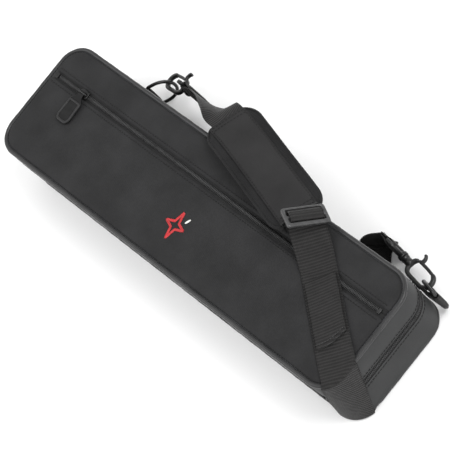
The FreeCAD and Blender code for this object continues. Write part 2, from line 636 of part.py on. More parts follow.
# Front run: lies on the front face, from the adjuster down to the corner.
FRONT_START = Vector(131, 20.8, 0)
rotation = Rotation(Vector(1, 0, 0), FRONT_DIR)
strip = block(0, -SW / 2, FRONT_Z - ST / 2, 120, SW, ST)
strip.Placement = Placement(FRONT_START, rotation)
strip = strip.common(case_prism(GAP + ST, FRONT_Z - ST / 2, FRONT_Z + ST / 2))
under = block(-20, -SW / 2, 0, 150, SW, ST)
under.Placement = Placement(RUN_START, Rotation(Vector(0, 0, 1), RUN_ANGLE))
under = under.common(case_prism(GAP + ST, 0, ST))

# Rise from the front face to the adjuster, and curl from under the case to the right hook.
UP = Vector(0, 0, 1)
rise = ribbon([((133, 19.3, FRONT_Z), FRONT_SIDE, UP), ((121, 28.5, FRONT_Z + 1.5), (0.6, 0.8, -0.1), UP),
               ((110, 37.5, FRONT_Z + 7), (0.55, 0.78, -0.3), (0.35, 0, 1)),
               ((100, 45, FRONT_Z + 11), (0.5, 0.78, -0.36), (0.2, 0, 1))], SW - 0.2, ST)
eye_place = HOOKS["right"]
eye_centre = eye_place.multVec(Vector(-7.5, 0, 0))
outward = eye_place.Rotation.multVec(Vector(-1, 0, 0))
run_side = Vector(0.8, 0.6, 0)
at_edge = RUN_START + RUN_DIR * 129
leaving = [(at_edge + RUN_DIR * d + Vector(0, 0, ST / 2), run_side, UP) for d in (0, 11)]
straight = ribbon(leaving, SW - 0.6, ST)
curl = ribbon([leaving[1],
               ((118.4, 65.2, 3.4), (0.82, 0.55, -0.16), (0.2, -0.4, 0.86)),
               ((121, 67.8, 8.3), (0.655, 0.564, -0.5), (0.69, -0.71, 0.09)),
               ((125.5, 71.0, 14.4), (0.232, 0.348, -0.908), (0.49, -0.81, -0.19)),
               (eye_centre + outward * 12 + Vector(0, 0.6, 0), (0, 0, -1), (0.17, -0.98, 0))],
              SW - 0.6, ST)


def strap_loop(side):
    """The webbing's sewn end: round the eye's outer bar and doubled back on itself."""
    place = HOOKS[side]
    bar, half = D["eye_bar"] / 2 + 0.3, (SW - 0.6) / 2
    u0 = -5.0 - D["eye_inner_depth"] - D["eye_bar"] / 2
    outer = Part.makeCylinder(bar + ST, 2 * half, Vector(u0, 0, -half))
    tail = block(u0 - 11, -ST, -half, 11, 2 * ST, 2 * half)
    neck = prism([(u0, bar + ST), (u0 - 6.5, ST), (u0 - 6.5, -ST), (u0, -bar - ST)], 2 * half)
    neck.translate(Vector(0, 0, -half))
    hole = block(u0 - 1.8, -1.8, -half - 1, 3.6, 3.6, 2 * half + 2)
    loop = outer.fuse([tail, neck]).cut(hole).removeSplitter()
    loop.Placement = place
    return loop


right_loop = strap_loop("right")
webbing = strip.fuse([band, under, rise, straight, curl])
webbing = webbing.cut(right_loop).removeSplitter()
main = max(webbing.Solids, key=lambda s: s.Volume)
shape_node("strap_webbing_long", main)
shape_node("strap_end_right", right_loop)
shape_node("strap_end_left", strap_loop("left"))

left_place = HOOKS["left"]
left_tail = left_place.multVec(Vector(-5.0 - D["eye_inner_depth"] - 13.0, 0, 0))
left_across = left_place.Rotation.multVec(Vector(0, 0, 1))
left_normal = left_place.Rotation.multVec(Vector(0, 1, 0))
short = ribbon([(left_tail, left_across, left_normal),
                ((-64, 75.6, 51.3), (0.37, 0.30, -0.88), (-0.09, 0.955, 0.29)),
                ((-46, 74.6, 60.5), (0.36, 0.72, -0.58), (-0.29, 0.68, 0.67)),
                ((-27, 73, 69.5), (0.3, 0.94, 0), (-0.1, 0, 1))], SW - 0.4, ST)
shape_node("strap_webbing_short", short)

PAD_LINE = [((-26, 72.5, 72.5), (0.30, 0.94, -0.10)), ((4, 66, 74), (0.27, 0.93, -0.25)),
            ((40, 57, 73.5), (0.25, 0.94, -0.25)), ((74, 48.5, 73), (0.27, 0.95, -0.16)),
            ((99, 42, 74), (0.32, 0.93, -0.16))]
PAD_NORMAL = Vector(0, 0.1, 1)


def pad_ribbon(offset, width, thick, trim=0.0):
    stations = []
    for i, (centre, across) in enumerate(PAD_LINE):
        a = Vector(across).normalize()
        n = (PAD_NORMAL - a * a.dot(PAD_NORMAL)).normalize()
        c = Vector(centre) + n * offset
        if i == 0:
            c += Vector(0.97, -0.22, 0) * trim
        if i == len(PAD_LINE) - 1:
            c -= Vector(0.97, -0.22, 0) * trim
        stations.append((c, a, n))
    return ribbon(stations, width, thick)


shape_node("shoulder_pad", pad_ribbon(-1.0, 48.0, 6.0))
shape_node("pad_sleeve", pad_ribbon(3.4, 33.0, 1.8, 3.0))

# --- strap adjuster: a three-bar slide ----------------------------------------------------------------
adjuster = block(-18.5, -9.0, -1.5, 37, 18, 3)
for y0 in (-6.9, 1.2):
    adjuster = adjuster.cut(block(-15.6, y0, -3, 31.2, 5.7, 6))
adjuster = adjuster.makeFillet(1.2, [e for e in adjuster.Edges if abs(abs(e.CenterOfMass.x) - 18.5) < 1e-6
                                     and abs(abs(e.CenterOfMass.y) - 9.0) < 1e-6])
item = shape_node("strap_adjuster", adjuster)
item.Placement = frame_at(Vector(107.5, 44.6, 86.9), Vector(0.274, 0.675, -0.685), Vector(-0.910, 0.391, 0.053))

# --- check and write ------------------------------------------------------------------------------------
doc.recompute()
bad = [o.Name for o in doc.Objects if "Invalid" in o.State or "Error" in o.State]
for label, item in NODES.items():
    shape = item.Shape
    if shape.isNull() or not shape.isValid() or len(shape.Solids) != 1:
        bad.append("%s (%d solids)" % (label, 0 if shape.isNull() else len(shape.Solids)))
if bad:
    raise RuntimeError("not built: " + ", ".join(bad))
os.makedirs("parts", exist_ok=True)
for label, item in NODES.items():
    item.Shape.exportStep("parts/%s.step" % label)
print("wrote", len(NODES), "parts")
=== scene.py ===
import json
import math

import bpy
import numpy as np
from mathutils import Matrix, Vector


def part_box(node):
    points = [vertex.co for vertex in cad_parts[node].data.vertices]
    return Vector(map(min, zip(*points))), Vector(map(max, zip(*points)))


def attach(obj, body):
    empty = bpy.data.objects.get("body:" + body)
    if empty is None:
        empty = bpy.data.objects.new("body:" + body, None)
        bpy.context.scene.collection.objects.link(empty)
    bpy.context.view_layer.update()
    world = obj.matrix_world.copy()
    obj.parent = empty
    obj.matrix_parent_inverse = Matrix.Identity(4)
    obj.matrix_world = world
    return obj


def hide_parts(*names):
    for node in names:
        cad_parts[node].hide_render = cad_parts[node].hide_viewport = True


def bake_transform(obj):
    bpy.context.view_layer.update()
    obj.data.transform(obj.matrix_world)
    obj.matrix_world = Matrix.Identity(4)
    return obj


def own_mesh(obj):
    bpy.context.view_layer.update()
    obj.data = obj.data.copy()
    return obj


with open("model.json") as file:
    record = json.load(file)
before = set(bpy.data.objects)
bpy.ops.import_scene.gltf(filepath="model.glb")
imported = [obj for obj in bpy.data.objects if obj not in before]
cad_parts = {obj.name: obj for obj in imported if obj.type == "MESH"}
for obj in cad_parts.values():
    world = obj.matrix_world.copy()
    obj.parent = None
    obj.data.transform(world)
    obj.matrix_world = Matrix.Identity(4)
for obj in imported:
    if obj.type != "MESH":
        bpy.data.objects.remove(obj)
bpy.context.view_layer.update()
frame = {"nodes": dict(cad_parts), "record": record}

# Slim padded carry case, drawn in millimetres and written in metres. X runs along the case,
# +Y to the strap side, +Z out of the pocket face.
MM = 0.001
_low, _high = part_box("back_piping")
LENGTH, WIDTH = (_high[0] - _low[0]) / MM, (_high[1] - _low[1]) / MM
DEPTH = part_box("front_piping")[1][2] / MM
RADIUS = 22.0
ZIP_Z = (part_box("base_zip_coil")[1][2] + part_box("lid_zip_coil")[0][2]) / 2 / MM
HALF_L, HALF_W = LENGTH / 2, WIDTH / 2
SIDE = HALF_W
POCKET_Y = (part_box("pocket_coil_upper")[0][1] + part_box("pocket_coil_lower")[1][1]) / 2 / MM


# --- materials ---

WAVE_RADIANS = 20.0  # the wave texture turns this far over one unit at scale 1


class Shader:
    """A Principled material with small helpers for procedural colour, roughness and bump."""

    def __init__(self, name, colour, rough, **sockets):
        self.material = bpy.data.materials.new(name)
        self.material.use_nodes = True
        self.nodes, self.links = self.material.node_tree.nodes, self.material.node_tree.links
        self.bsdf = next(n for n in self.nodes if n.type == "BSDF_PRINCIPLED")
        self.bsdf.inputs["Base Color"].default_value = (*colour, 1)
        self.bsdf.inputs["Roughness"].default_value = rough
        for key, value in sockets.items():
            self.bsdf.inputs[key.replace("_", " ")].default_value = value
        self.colour, self.height = colour, None
        self.coords = self.node("TexCoord")

    def link(self, a, b):
        self.links.new(a, b)

    def node(self, kind, **values):
        node = self.nodes.new("ShaderNode" + kind)
        for key, value in values.items():
            node.inputs[key.replace("_", " ")].default_value = value
        return node

    def math(self, op, a, b):
        node = self.node("Math")
        node.operation = op
        for socket, value in zip(node.inputs, (a, b)):
            if isinstance(value, (int, float)):
                socket.default_value = value
            else:
                self.link(value, socket)
        return node.outputs[0]

    def mix(self, a, b, share):
        """A share of a with the rest of b."""
        return self.math("ADD", self.math("MULTIPLY", a, share), self.math("MULTIPLY", b, 1 - share))

    def noise(self, scale, detail=3.0, source="Object", stretch=None):
        node = self.node("TexNoise", Scale=scale, Detail=detail)
        vector = self.coords.outputs[source]
        if stretch:
            mapping = self.node("Mapping", Scale=stretch)
            self.link(vector, mapping.inputs["Vector"])
            vector = mapping.outputs[0]
        self.link(vector, node.inputs["Vector"])
        return node.outputs["Fac"]

    def bands(self, period_mm, axis, source="Object"):
        node = self.node("TexWave", Scale=2 * math.pi / WAVE_RADIANS / (period_mm * MM))
        node.bands_direction = axis
        self.link(self.coords.outputs[source], node.inputs["Vector"])
        return node.outputs["Fac"]

    def tint(self, fac, dark, light, low=0.3, high=0.7):
        ramp = self.node("ValToRGB")
        for element, place, k in zip(ramp.color_ramp.elements, (low, high), (dark, light)):
            element.position, element.color = place, (*(c * k for c in self.colour), 1)
        self.link(fac, ramp.inputs[0])
        self.link(ramp.outputs[0], self.bsdf.inputs["Base Color"])

    def roughen(self, fac, low, high):
        node = self.node("MapRange", To_Min=low, To_Max=high)
        self.link(fac, node.inputs[0])
        self.link(node.outputs[0], self.bsdf.inputs["Roughness"])

    def bump(self, fac, depth_mm, strength=1.0):
        node = self.node("Bump", Strength=strength, Distance=depth_mm * MM)
        self.link(fac, node.inputs["Height"])
        if self.height is not None:
            self.link(self.height, node.inputs["Normal"])
        self.height = node.outputs[0]
        self.link(self.height, self.bsdf.inputs["Normal"])


def cloth(name, colour, rough=0.8, weave=0.9, depth=0.07, sheen=0.25, mottle=0.12, fibre=0.1, gloss=0.16):
    s = Shader(name, colour, rough, Sheen_Weight=sheen, Sheen_Roughness=0.45)
    s.bsdf.inputs["Specular IOR Level"].default_value = gloss
    blotch = s.noise(38.0, 4.0)
    s.tint(s.mix(blotch, s.noise(900.0, 2.0), 0.7), 1 - mottle * 1.6, 1 + mottle * 1.6)
    s.roughen(blotch, rough - 0.08, min(1.0, rough + 0.1))
    grid = s.math("ADD", s.math("ADD", s.bands(weave, "X"), s.bands(weave, "Y")), s.bands(weave, "Z"))
    s.bump(s.noise(60.0, 3.0), 0.25, 0.35)
    s.bump(grid, depth, 0.5)
    s.bump(s.noise(1500.0, 2.0), fibre, 0.4)
    return s.material


def ribbed(name, colour, rough=0.7, pitch=2.0, warp=1.1, depth=0.22):
    """Webbing and tape: cross ribs and fine warp lines along the strip's own UV, in metres."""
    s = Shader(name, colour, rough, Sheen_Weight=0.05, Sheen_Roughness=0.4, Specular_IOR_Level=0.16)
    ribs = s.mix(s.bands(pitch, "Y", "UV"), s.bands(warp, "X", "UV"), 0.75)
    s.tint(s.mix(ribs, s.noise(150.0, 4.0), 0.55), 0.6, 1.5, 0.25, 0.8)
    s.roughen(s.noise(220.0), rough - 0.1, rough + 0.1)
    s.bump(ribs, depth, 0.9)
    s.bump(s.noise(1400.0, 2.0), 0.06, 0.4)
    return s.material


def moulded(name, colour, rough=0.35, grain=500.0, depth=0.02, wear_and_glint=0.25, gloss=0.5):
    s = Shader(name, colour, rough, Coat_Weight=0.3 * gloss, Coat_Roughness=0.3, Specular_IOR_Level=gloss)
    # Random tone over the moulding: real scuffs on most parts; the coil's strong setting is painted glints,
    # groups of teeth lighter and darker in place of light catching the teeth.
    scuff_and_glint = s.noise(120.0, 6.0, stretch=(1, 3, 1))
    s.tint(scuff_and_glint, 1 - wear_and_glint, 1 + wear_and_glint)
    s.roughen(scuff_and_glint, rough - 0.08, rough + 0.16)
    s.bump(s.noise(grain, 2.0), depth, 0.5)
    return s.material


def enamel(name, colour, rough=0.3):
    s = Shader(name, colour, rough, Metallic=0.75, Coat_Weight=0.4, Coat_Roughness=0.25)
    worn = s.noise(260.0, 6.0)
    s.tint(worn, 0.7, 1.9, 0.45, 0.75)
    s.roughen(worn, rough - 0.06, rough + 0.2)
    s.bump(s.noise(700.0, 2.0), 0.015, 0.5)
    return s.material


def foam_sheet(name, colour):
    s = Shader(name, colour, 0.95)
    cells = s.noise(1100.0, 3.0)
    s.tint(cells, 0.7, 1.3)
    s.roughen(cells, 0.85, 1.0)
    s.bump(cells, 0.25, 0.6)
    return s.material


SHELL = cloth("shell_cloth", (0.0175, 0.0175, 0.0180), 0.80, 0.9, 0.09, 0.06, 0.22)
# The gusset cloth is the shell's cloth set lighter: painted light, standing in for the light that falls on
# the end walls.
GUSSET = cloth("gusset_cloth", (0.027, 0.0275, 0.0278), 0.62, 0.8, 0.05, 0.06, 0.12)
LINING = cloth("lining_cloth", (0.036, 0.037, 0.041), 0.92, 1.3, 0.05, 0.3, 0.2, 0.2)
PAD = cloth("pad_cloth", (0.0120, 0.0120, 0.0123), 0.86, 1.5, 0.2, 0.06, 0.25)
SLEEVE = cloth("sleeve_cloth", (0.0175, 0.0172, 0.0174), 0.74, 1.2, 0.1, 0.06, 0.16)
PIPING = cloth("piping_cover", (0.024, 0.024, 0.0245), 0.30, 0.7, 0.03, 0.05, 0.15, gloss=0.28)
TAPE = ribbed("zip_tape_weave", (0.012, 0.012, 0.0122), 0.8, 1.0, 0.8, 0.08)
WEBBING = ribbed("strap_webbing_weave", (0.0150, 0.0145, 0.0143), 0.6, 2.5, 1.25, 0.4)
# The coil's strong tone spread is painted glints: groups of teeth lighter and darker stand in for light
# catching the teeth.
COIL = moulded("coil_nylon", (0.014, 0.014, 0.0144), 0.38, 900.0, 0.01, 0.75, gloss=0.32)
METAL = enamel("black_enamel", (0.018, 0.018, 0.018))
PULL = moulded("pull_moulding", (0.0085, 0.0085, 0.0087), 0.45, 600.0, 0.03, 0.3, gloss=0.14)
# The pull's raised edge is moulded lighter than the tab: a painted highlight round the pull.
PULL_EDGE_HIGHLIGHT = moulded("pull_edge_painted_highlight", (0.015, 0.015, 0.0153), 0.30, 600.0, 0.02, 0.3, gloss=0.3)
ACETAL = moulded("hook_acetal", (0.009, 0.009, 0.009), 0.26, 450.0, 0.02, 0.2, gloss=0.3)
SLIDE = moulded("adjuster_acetal", (0.034, 0.034, 0.0345), 0.34, 450.0, 0.02, 0.3)
WIRE = enamel("ring_wire_coat", (0.012, 0.012, 0.012), 0.26)
THREAD = ribbed("dark_thread", (0.012, 0.012, 0.012), 0.6, 0.9, 0.9, 0.05)
STITCH = moulded("seam_thread", (0.026, 0.026, 0.027), 0.6, 1200.0, 0.02, 0.3)
RED = moulded("red_embroidery", (0.42, 0.012, 0.016), 0.5, 1500.0, 0.03, 0.25)
WHITE = moulded("white_embroidery", (0.75, 0.74, 0.70), 0.5, 1500.0, 0.03, 0.15)
FOAM = foam_sheet("closed_cell_foam", (0.10, 0.10, 0.105))
BOARD = moulded("stiffener_board", (0.16, 0.15, 0.14), 0.8, 300.0, 0.05, 0.2)


# --- mesh helpers (all in millimetres) ---


def unit(v):
    v = np.asarray(v, float)
    return v / np.maximum(np.linalg.norm(v, axis=-1, keepdims=True), 1e-12)


def arc_length(path):
    """Distance along a path at each of its points."""
    return np.concatenate([[0], np.cumsum(np.linalg.norm(np.diff(path, axis=0), axis=1))])


def sample(at, s, table):
    """The rows of a table that is given at the distances s, read off at other distances."""
    return np.stack([np.interp(at, s, column) for column in table.T], -1)


def level(plan, z):
    """Plan points (or directions) with a third value added."""
    return np.column_stack([plan[:, :2], np.broadcast_to(z, len(plan))])


def arc(x, y, r, start, end, n):
    """n points round a circle, from one angle in degrees to another."""
    return [(x + r * math.cos(a), y + r * math.sin(a)) for a in np.radians(np.linspace(start, end, n))]


def mirrored(side):
    """One side of an outline and its reflection, as a closed loop."""
    return side + [(-x, y) for x, y in side[::-1]]


def declare(name, data, material, body, replaces):
    """Put a mesh in the scene as one piece that rides on a body."""
    data.polygons.foreach_set("use_smooth", [True] * len(data.polygons))
    data.materials.clear()
    data.materials.append(material)
    obj = bpy.data.objects.new(name, data)
    bpy.context.scene.collection.objects.link(obj)
    if replaces:
        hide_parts(*replaces)
    if body:
        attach(obj, body)
    return obj


def make(name, verts, faces, material, body, replaces=(), uv=None):
    """A piece from millimetre vertices and UV."""
    data = bpy.data.meshes.new(name)
    data.from_pydata((np.asarray(verts, float) * MM).tolist(), [], [list(map(int, f)) for f in faces])
    data.validate()
    if uv is not None:
        index = np.zeros(len(data.loops), int)
        data.loops.foreach_get("vertex_index", index)
        data.uv_layers.new(name="UVMap").data.foreach_set("uv", (uv[index] * MM).ravel())
    return declare(name, data, material, body, replaces)


def grid_faces(rows, cols, wrap_rows=False, wrap_cols=False, offset=0):
    """Quads between neighbouring points of a grid, joined end to end where it wraps."""
    faces = []
    for i in range(rows if wrap_rows else rows - 1):
        for j in range(cols if wrap_cols else cols - 1):
            a, d = i * cols + offset, (i + 1) % rows * cols + offset
            k = (j + 1) % cols
            faces.append((a + j, a + k, d + k, d + j))
    return faces


def tube_faces(rows, cols, offset=0):
    """A tube of rings of points, with its two ends filled."""
    last = (rows - 1) * cols + offset
    return grid_faces(rows, cols, False, True, offset) + [
        tuple(range(offset, offset + cols))[::-1], tuple(range(last, last + cols))]


def two_layers(n, m, way, edge_way):
    """A sheet whose two faces are grids of n x m points, one after the other, closed round its edge."""
    count = n * m
    front = [f[::way] for f in grid_faces(n, m)]
    back = [tuple(k + count for k in f[::-1]) for f in front]
    ring = [*range(0, count, m), *range(count - m + 1, count), *range(count - m - 1, 0, -m),
            *range(m - 2, 0, -1)]
    walls = [(b + count, a + count, a, b)[::edge_way] for a, b in zip(ring, ring[1:] + ring[:1])]
    return front + back + walls


def uv_grid(across, along):
    """One UV pair in millimetres for each point of a grid."""
    return np.stack(np.broadcast_arrays(across, along), -1).reshape(-1, 2)


def wobble(p, scale, seed=0.0):
    """Smooth repeatable unevenness, about -1 to 1, at points p with features of `scale` mm."""
    p = np.asarray(p, float) / scale
    a, b, c = p[..., 0], p[..., 1], p[..., 2]
    return (np.sin(a * 1.7 + b * 1.1 + seed) * np.cos(b * 1.9 - c * 1.3 + seed * 2.1)
            + 0.6 * np.sin(a * 3.1 - c * 2.3 + seed * 3.7) * np.sin(b * 2.7 + c * 1.9 - seed)
            + 0.35 * np.sin(a * 5.3 + b * 4.7 + c * 3.9 + seed * 1.3)) / 1.6


def rim(inset, step=3.0):
    """The case's rounded outline pulled in by inset: x, y, outward normal and arc length.

    It starts at the hinge side's right end and goes round the right end, the strap side and
    the left end, and back along the hinge side."""
    r = RADIUS - inset
    cx, cy = HALF_L - RADIUS, HALF_W - RADIUS
    out = []

    def corner(x0, y0, a0):
        for a in np.radians(np.linspace(a0, a0 + 90, 13))[:-1]:
            out.append((x0 + r * math.cos(a), y0 + r * math.sin(a), math.cos(a), math.sin(a)))

    def run(xa, ya, xb, yb, nx, ny):
        n = max(2, int(math.hypot(xb - xa, yb - ya) / step))
        for t in np.linspace(0, 1, n, endpoint=False):
            out.append((xa + (xb - xa) * t, ya + (yb - ya) * t, nx, ny))

    corner(cx, -cy, 270)
    run(cx + r, -cy, cx + r, cy, 1, 0)
    corner(cx, cy, 0)
    run(cx, cy + r, -cx, cy + r, 0, 1)
    corner(-cx, cy, 90)
    run(-cx - r, cy, -cx - r, -cy, -1, 0)
    corner(-cx, -cy, 180)
    mark = len(out)
    run(-cx, -cy - r, cx, -cy - r, 0, -1)
    pts = np.array(out)
    return pts, arc_length(pts[:, :2]), mark


def zip_side(inset, step):
    """The outline without the hinge side, and its arc length."""
    pts, s, mark = rim(inset, step)
    return pts[:mark + 1], s[:mark + 1]


def sweep(name, path, radii, material, body, replaces=(), closed=False, sides=12, up=(0, 0, 1),
          squareness=2.0):
    """A tube along path. radii is one (half width, half height) or one per point."""
    path = np.asarray(path, float)
    n = len(path)
    radii = np.broadcast_to(np.asarray(radii, float), (n, 2))
    tangent = unit(np.roll(path, -1, 0) - np.roll(path, 1, 0) if closed else np.gradient(path, axis=0))
    across = unit(np.cross(np.asarray(up, float), tangent))
    normal = np.cross(tangent, across)
    angles = np.linspace(0, 2 * np.pi, sides, endpoint=False)
    ca, sa = (np.sign(f) * np.abs(f) ** (2.0 / squareness) for f in (np.cos(angles), np.sin(angles)))
    rings = (path[:, None] + across[:, None] * (radii[:, :1] * ca)[..., None]
             + normal[:, None] * (radii[:, 1:] * sa)[..., None])
    faces = grid_faces(n, sides, True, True) if closed else tube_faces(n, sides)
    return make(name, rings.reshape(-1, 3), faces, material, body, replaces,
                uv_grid(angles * radii.mean(), arc_length(path)[:, None]))


def smooth_path(points, count):
    """A Catmull-Rom curve through points, evenly spaced to count points."""
    p = np.asarray(points, float)
    p = np.vstack([2 * p[0] - p[1], p, 2 * p[-1] - p[-2]])
    t = np.linspace(0, 1, 24, endpoint=False)[:, None]
    out = [0.5 * (2 * b + (c - a) * t + (2 * a - 5 * b + 4 * c - d) * t ** 2
                  + (3 * b - a - 3 * c + d) * t ** 3) for a, b, c, d in zip(p, p[1:], p[2:], p[3:])]
    out = np.vstack(out + [p[-2][None]])
    s = arc_length(out)
    return sample(np.linspace(0, s[-1], count), s, out)


def strip_points(stations, count):
    """Centres, across and normal directions along stations of (centre, across, normal)."""
    path = smooth_path([np.concatenate(station) for station in stations], count)
    centre, across = path[:, :3], unit(path[:, 3:6])
    normal = path[:, 6:9] - across * np.sum(path[:, 6:9] * across, -1, keepdims=True)
    return centre, across, unit(normal)


def strip(name, centre, across, normal, width, thick, material, body, replaces=()):
    """A flat strip with thinned edges along a line; without a normal, it is square to the line."""
    across = np.broadcast_to(np.asarray(across, float), centre.shape)
    if normal is None:
        normal = np.cross(across, unit(np.gradient(centre, axis=0)))
    normal = np.broadcast_to(np.asarray(normal, float), centre.shape)
    us = np.linspace(-1, 1, 7)
    u = np.concatenate([us, us[::-1]])
    off = np.repeat([1, -1], 7) * thick / 2 * np.where(np.abs(u) > 0.99, 0.5, 1.0)
    u = u * (width / 2)
    verts = centre[:, None] + across[:, None] * u[:, None] + normal[:, None] * off[:, None]
    return make(name, verts.reshape(-1, 3), tube_faces(len(centre), len(u)), material, body, replaces,
                uv_grid(u, arc_length(centre)[:, None]))


def grains(centre, axis, side, out, sections, wide, high, lift=0.0):
    """Vertices and faces of small rounded grains, each along its own axis."""
    verts, faces = [], []
    for c, a, b, o in zip(centre, axis, side, out):
        faces += tube_faces(len(sections), 6, len(verts))
        for u, k in sections:
            for turn in np.arange(6) * math.pi / 3:
                verts.append(c + a * u + b * wide * k * math.cos(turn)
                             + o * (high * k * math.sin(turn) + lift))
    return verts, faces


def stitches(name, line, normal, body, material, pitch=3.0, size=(0.32, 1.15)):
    """A row of thread stitches lying along line on a surface with the given normal."""
    line, normal = np.asarray(line, float), np.asarray(normal, float)
    s = arc_length(line)
    at = np.arange(pitch / 2, s[-1], pitch)
    t = unit(sample(np.minimum(at + 0.4, s[-1]), s, line) - sample(np.maximum(at - 0.4, 0), s, line))
    out = np.broadcast_to(normal, t.shape) if normal.ndim == 1 else unit(sample(at, s, normal))
    r, half = size
    ends = ((-half, 0.35), (-half * 0.6, 0.95), (half * 0.6, 0.95), (half, 0.35))
    verts, faces = grains(sample(at, s, line), t, unit(np.cross(out, t)), out, ends, r, r, r * 0.3)
    return make(name, verts, faces, material, body)


def shape_from_outline(name, outlines, depth, bevel, material, body, replaces, place, lift=0.0):
    """A flat moulding with rounded edges from closed outlines (the first outside, then holes)."""
    curve = bpy.data.curves.new(name, "CURVE")
    curve.dimensions, curve.fill_mode = "2D", "BOTH"
    curve.extrude = (depth / 2 - bevel) * MM
    curve.bevel_depth, curve.bevel_resolution = bevel * MM, 2
    curve.offset = -bevel * MM
    for points in outlines:
        spline = curve.splines.new("POLY")
        spline.points.add(len(points) - 1)
        for p, (px, py) in zip(spline.points, points):
            p.co = (px * MM, py * MM, 0, 1)
        spline.use_cyclic_u = True
    helper = bpy.data.objects.new(name + "_curve", curve)
    bpy.context.scene.collection.objects.link(helper)
    bpy.context.view_layer.update()
    data = bpy.data.meshes.new_from_object(helper.evaluated_get(bpy.context.evaluated_depsgraph_get()))
    data.name = name
    bpy.data.objects.remove(helper)
    data.transform(place @ Matrix.Translation((0, 0, lift * MM)))
    obj = declare(name, data, material, body, replaces)
    data.set_sharp_from_angle(angle=math.radians(50))
    return obj


def rounded(points, radius, steps=5):
    """A polygon with its corners rounded."""
    pts = [np.asarray(p, float) for p in points]
    out = []
    for i, p in enumerate(pts):
        a, b = pts[i - 1] - p, pts[(i + 1) % len(pts)] - p
        la, lb = np.linalg.norm(a), np.linalg.norm(b)
        r = min(radius, la * 0.45, lb * 0.45)
        start, end = p + a / la * r, p + b / lb * r
        for t in np.linspace(0, 1, steps):
            out.append(tuple((1 - t) ** 2 * start + 2 * t * (1 - t) * p + t * t * end))
    return out


def rect(x0, y0, x1, y1):
    return [(x0, y0), (x1, y0), (x1, y1), (x0, y1)]


def frame_matrix(origin, u, v):
    """A 4x4 (metres) whose X axis is u and whose Y axis is v made square to it."""
    u = unit(u)
    w = unit(np.cross(u, v))
    v = np.cross(w, u)
    m = np.eye(4)
    m[:3, 0], m[:3, 1], m[:3, 2], m[:3, 3] = u, v, w, np.asarray(origin, float) * MM
    return Matrix(m.tolist())


def to_frame(m, points):
    """Millimetre points in a local frame to millimetre points in the row frame."""
    m = np.array(m)
    return np.asarray(points, float) @ m[:3, :3].T + m[:3, 3] / MM


def axis_of(m, k):
    """A frame's X (0), Y (1) or Z (2) direction."""
    return np.array(m)[:3, k]


# --- front and back faces ---
FACE_Z = DEPTH - 0.1
CROWN = 1.5
PANEL_INSET, LINING_INSET = 3.7, 7.0
ZIP_GAP = 4.0  # half the gap between the two front panels at the pocket's zip


def inside(x, y, inset=0.0):
    """Distance inward from the outline pulled in by inset."""
    r = RADIUS - inset
    qx = np.abs(x) - (HALF_L - inset - r)
    qy = np.abs(y) - (HALF_W - inset - r)
    out = np.hypot(np.maximum(qx, 0), np.maximum(qy, 0)) + np.minimum(np.maximum(qx, qy), 0)
    return r - out


def face_height(x, y):
    """The padded front face: crowned between the piping and the pocket's zip."""
    x, y = np.asarray(x, float), np.asarray(y, float)
    d = np.maximum(inside(x, y, 3.8), 0)
    gap = np.maximum(np.abs(y - POCKET_Y) - ZIP_GAP, 0)
    swell = CROWN * (1 - np.exp(-d / 12)) * (1 - np.exp(-gap / 9))
    tuck = -1.6 * np.exp(-d / 1.1)
    p = np.stack([x, y, np.zeros_like(x)], -1)
    ripple = 0.22 * wobble(p, 42, 1.3) * (1 - np.exp(-d / 10)) * (1 - np.exp(-gap / 6))
    pulls = 0.16 * np.sin(x / 9.0 + 1.2 * np.sin(x / 31.0)) * np.exp(-d / 9.0) * (d > 0)
    return FACE_Z + swell + tuck + ripple + pulls


def clustered(lo, hi, n, edge):
    """n values from lo to hi, packed closer near both ends."""
    t = np.linspace(0, 1, n)
    return lo + (hi - lo) * (t - edge * np.sin(2 * np.pi * t) / (2 * np.pi))


def columns(inset, y0, y1, n, m):
    """x, y arrays over the part of the outline (pulled in by inset) between y0 and y1."""
    half = HALF_L - inset
    xs = clustered(-half, half, n, 0.93)
    over = np.clip(np.abs(xs) - (HALF_L - RADIUS), 0, RADIUS - inset)
    reach = HALF_W - RADIUS + np.sqrt(np.maximum((RADIUS - inset) ** 2 - over ** 2, 0))
    low, high = np.maximum(y0, -reach), np.minimum(y1, reach)
    t = clustered(0, 1, m, 0.85)[None]
    return np.broadcast_to(xs[:, None], (n, m)), low[:, None] + (high - low)[:, None] * t


def sheet_piece(name, x, y, z, down, material, body, replaces):
    """A face panel from a height grid, closed with a thickness below (or above) it."""
    top = np.stack([x, y, z], -1).reshape(-1, 3)
    way = 1 if down < 0 else -1
    return make(name, np.vstack([top, top + [0, 0, down]]), two_layers(*x.shape, way, way), material, body,
                replaces, np.vstack([top[:, :2]] * 2))


for name, y0, y1, rows, node in (("front_pocket_panel", -SIDE, POCKET_Y - ZIP_GAP, 60, "pocket_panel"),
                                 ("front_upper_panel", POCKET_Y + ZIP_GAP, SIDE, 26, "front_panel_upper")):
    x, y = columns(PANEL_INSET, y0, y1, 260, rows)
    from_zip = np.abs(y - POCKET_Y) - ZIP_GAP
    hem = np.exp(-np.maximum(from_zip, 0) / 1.6)
    z = face_height(x, y) + 0.45 * np.sin(np.clip(from_zip / 3.4, 0, 1) * np.pi)
    sheet_piece(name, x, y, z - 0.5 * hem, -1.0, SHELL, "lid", (node,))

POCKET_HEM, MAIN_HEM = 6.6, 6.2  # from the middle of the zip to its row of stitches
hem_x = np.linspace(-HALF_L + 7, HALF_L - 7, 240)
for sign, half in ((-1, "lower"), (1, "upper")):
    hem_y = np.full_like(hem_x, POCKET_Y + sign * POCKET_HEM)
    line = np.stack([hem_x, hem_y, face_height(hem_x, hem_y) + 0.25], -1)
    stitches("zip_hem_stitch_" + half, line, (0, 0, 1), "lid", THREAD)

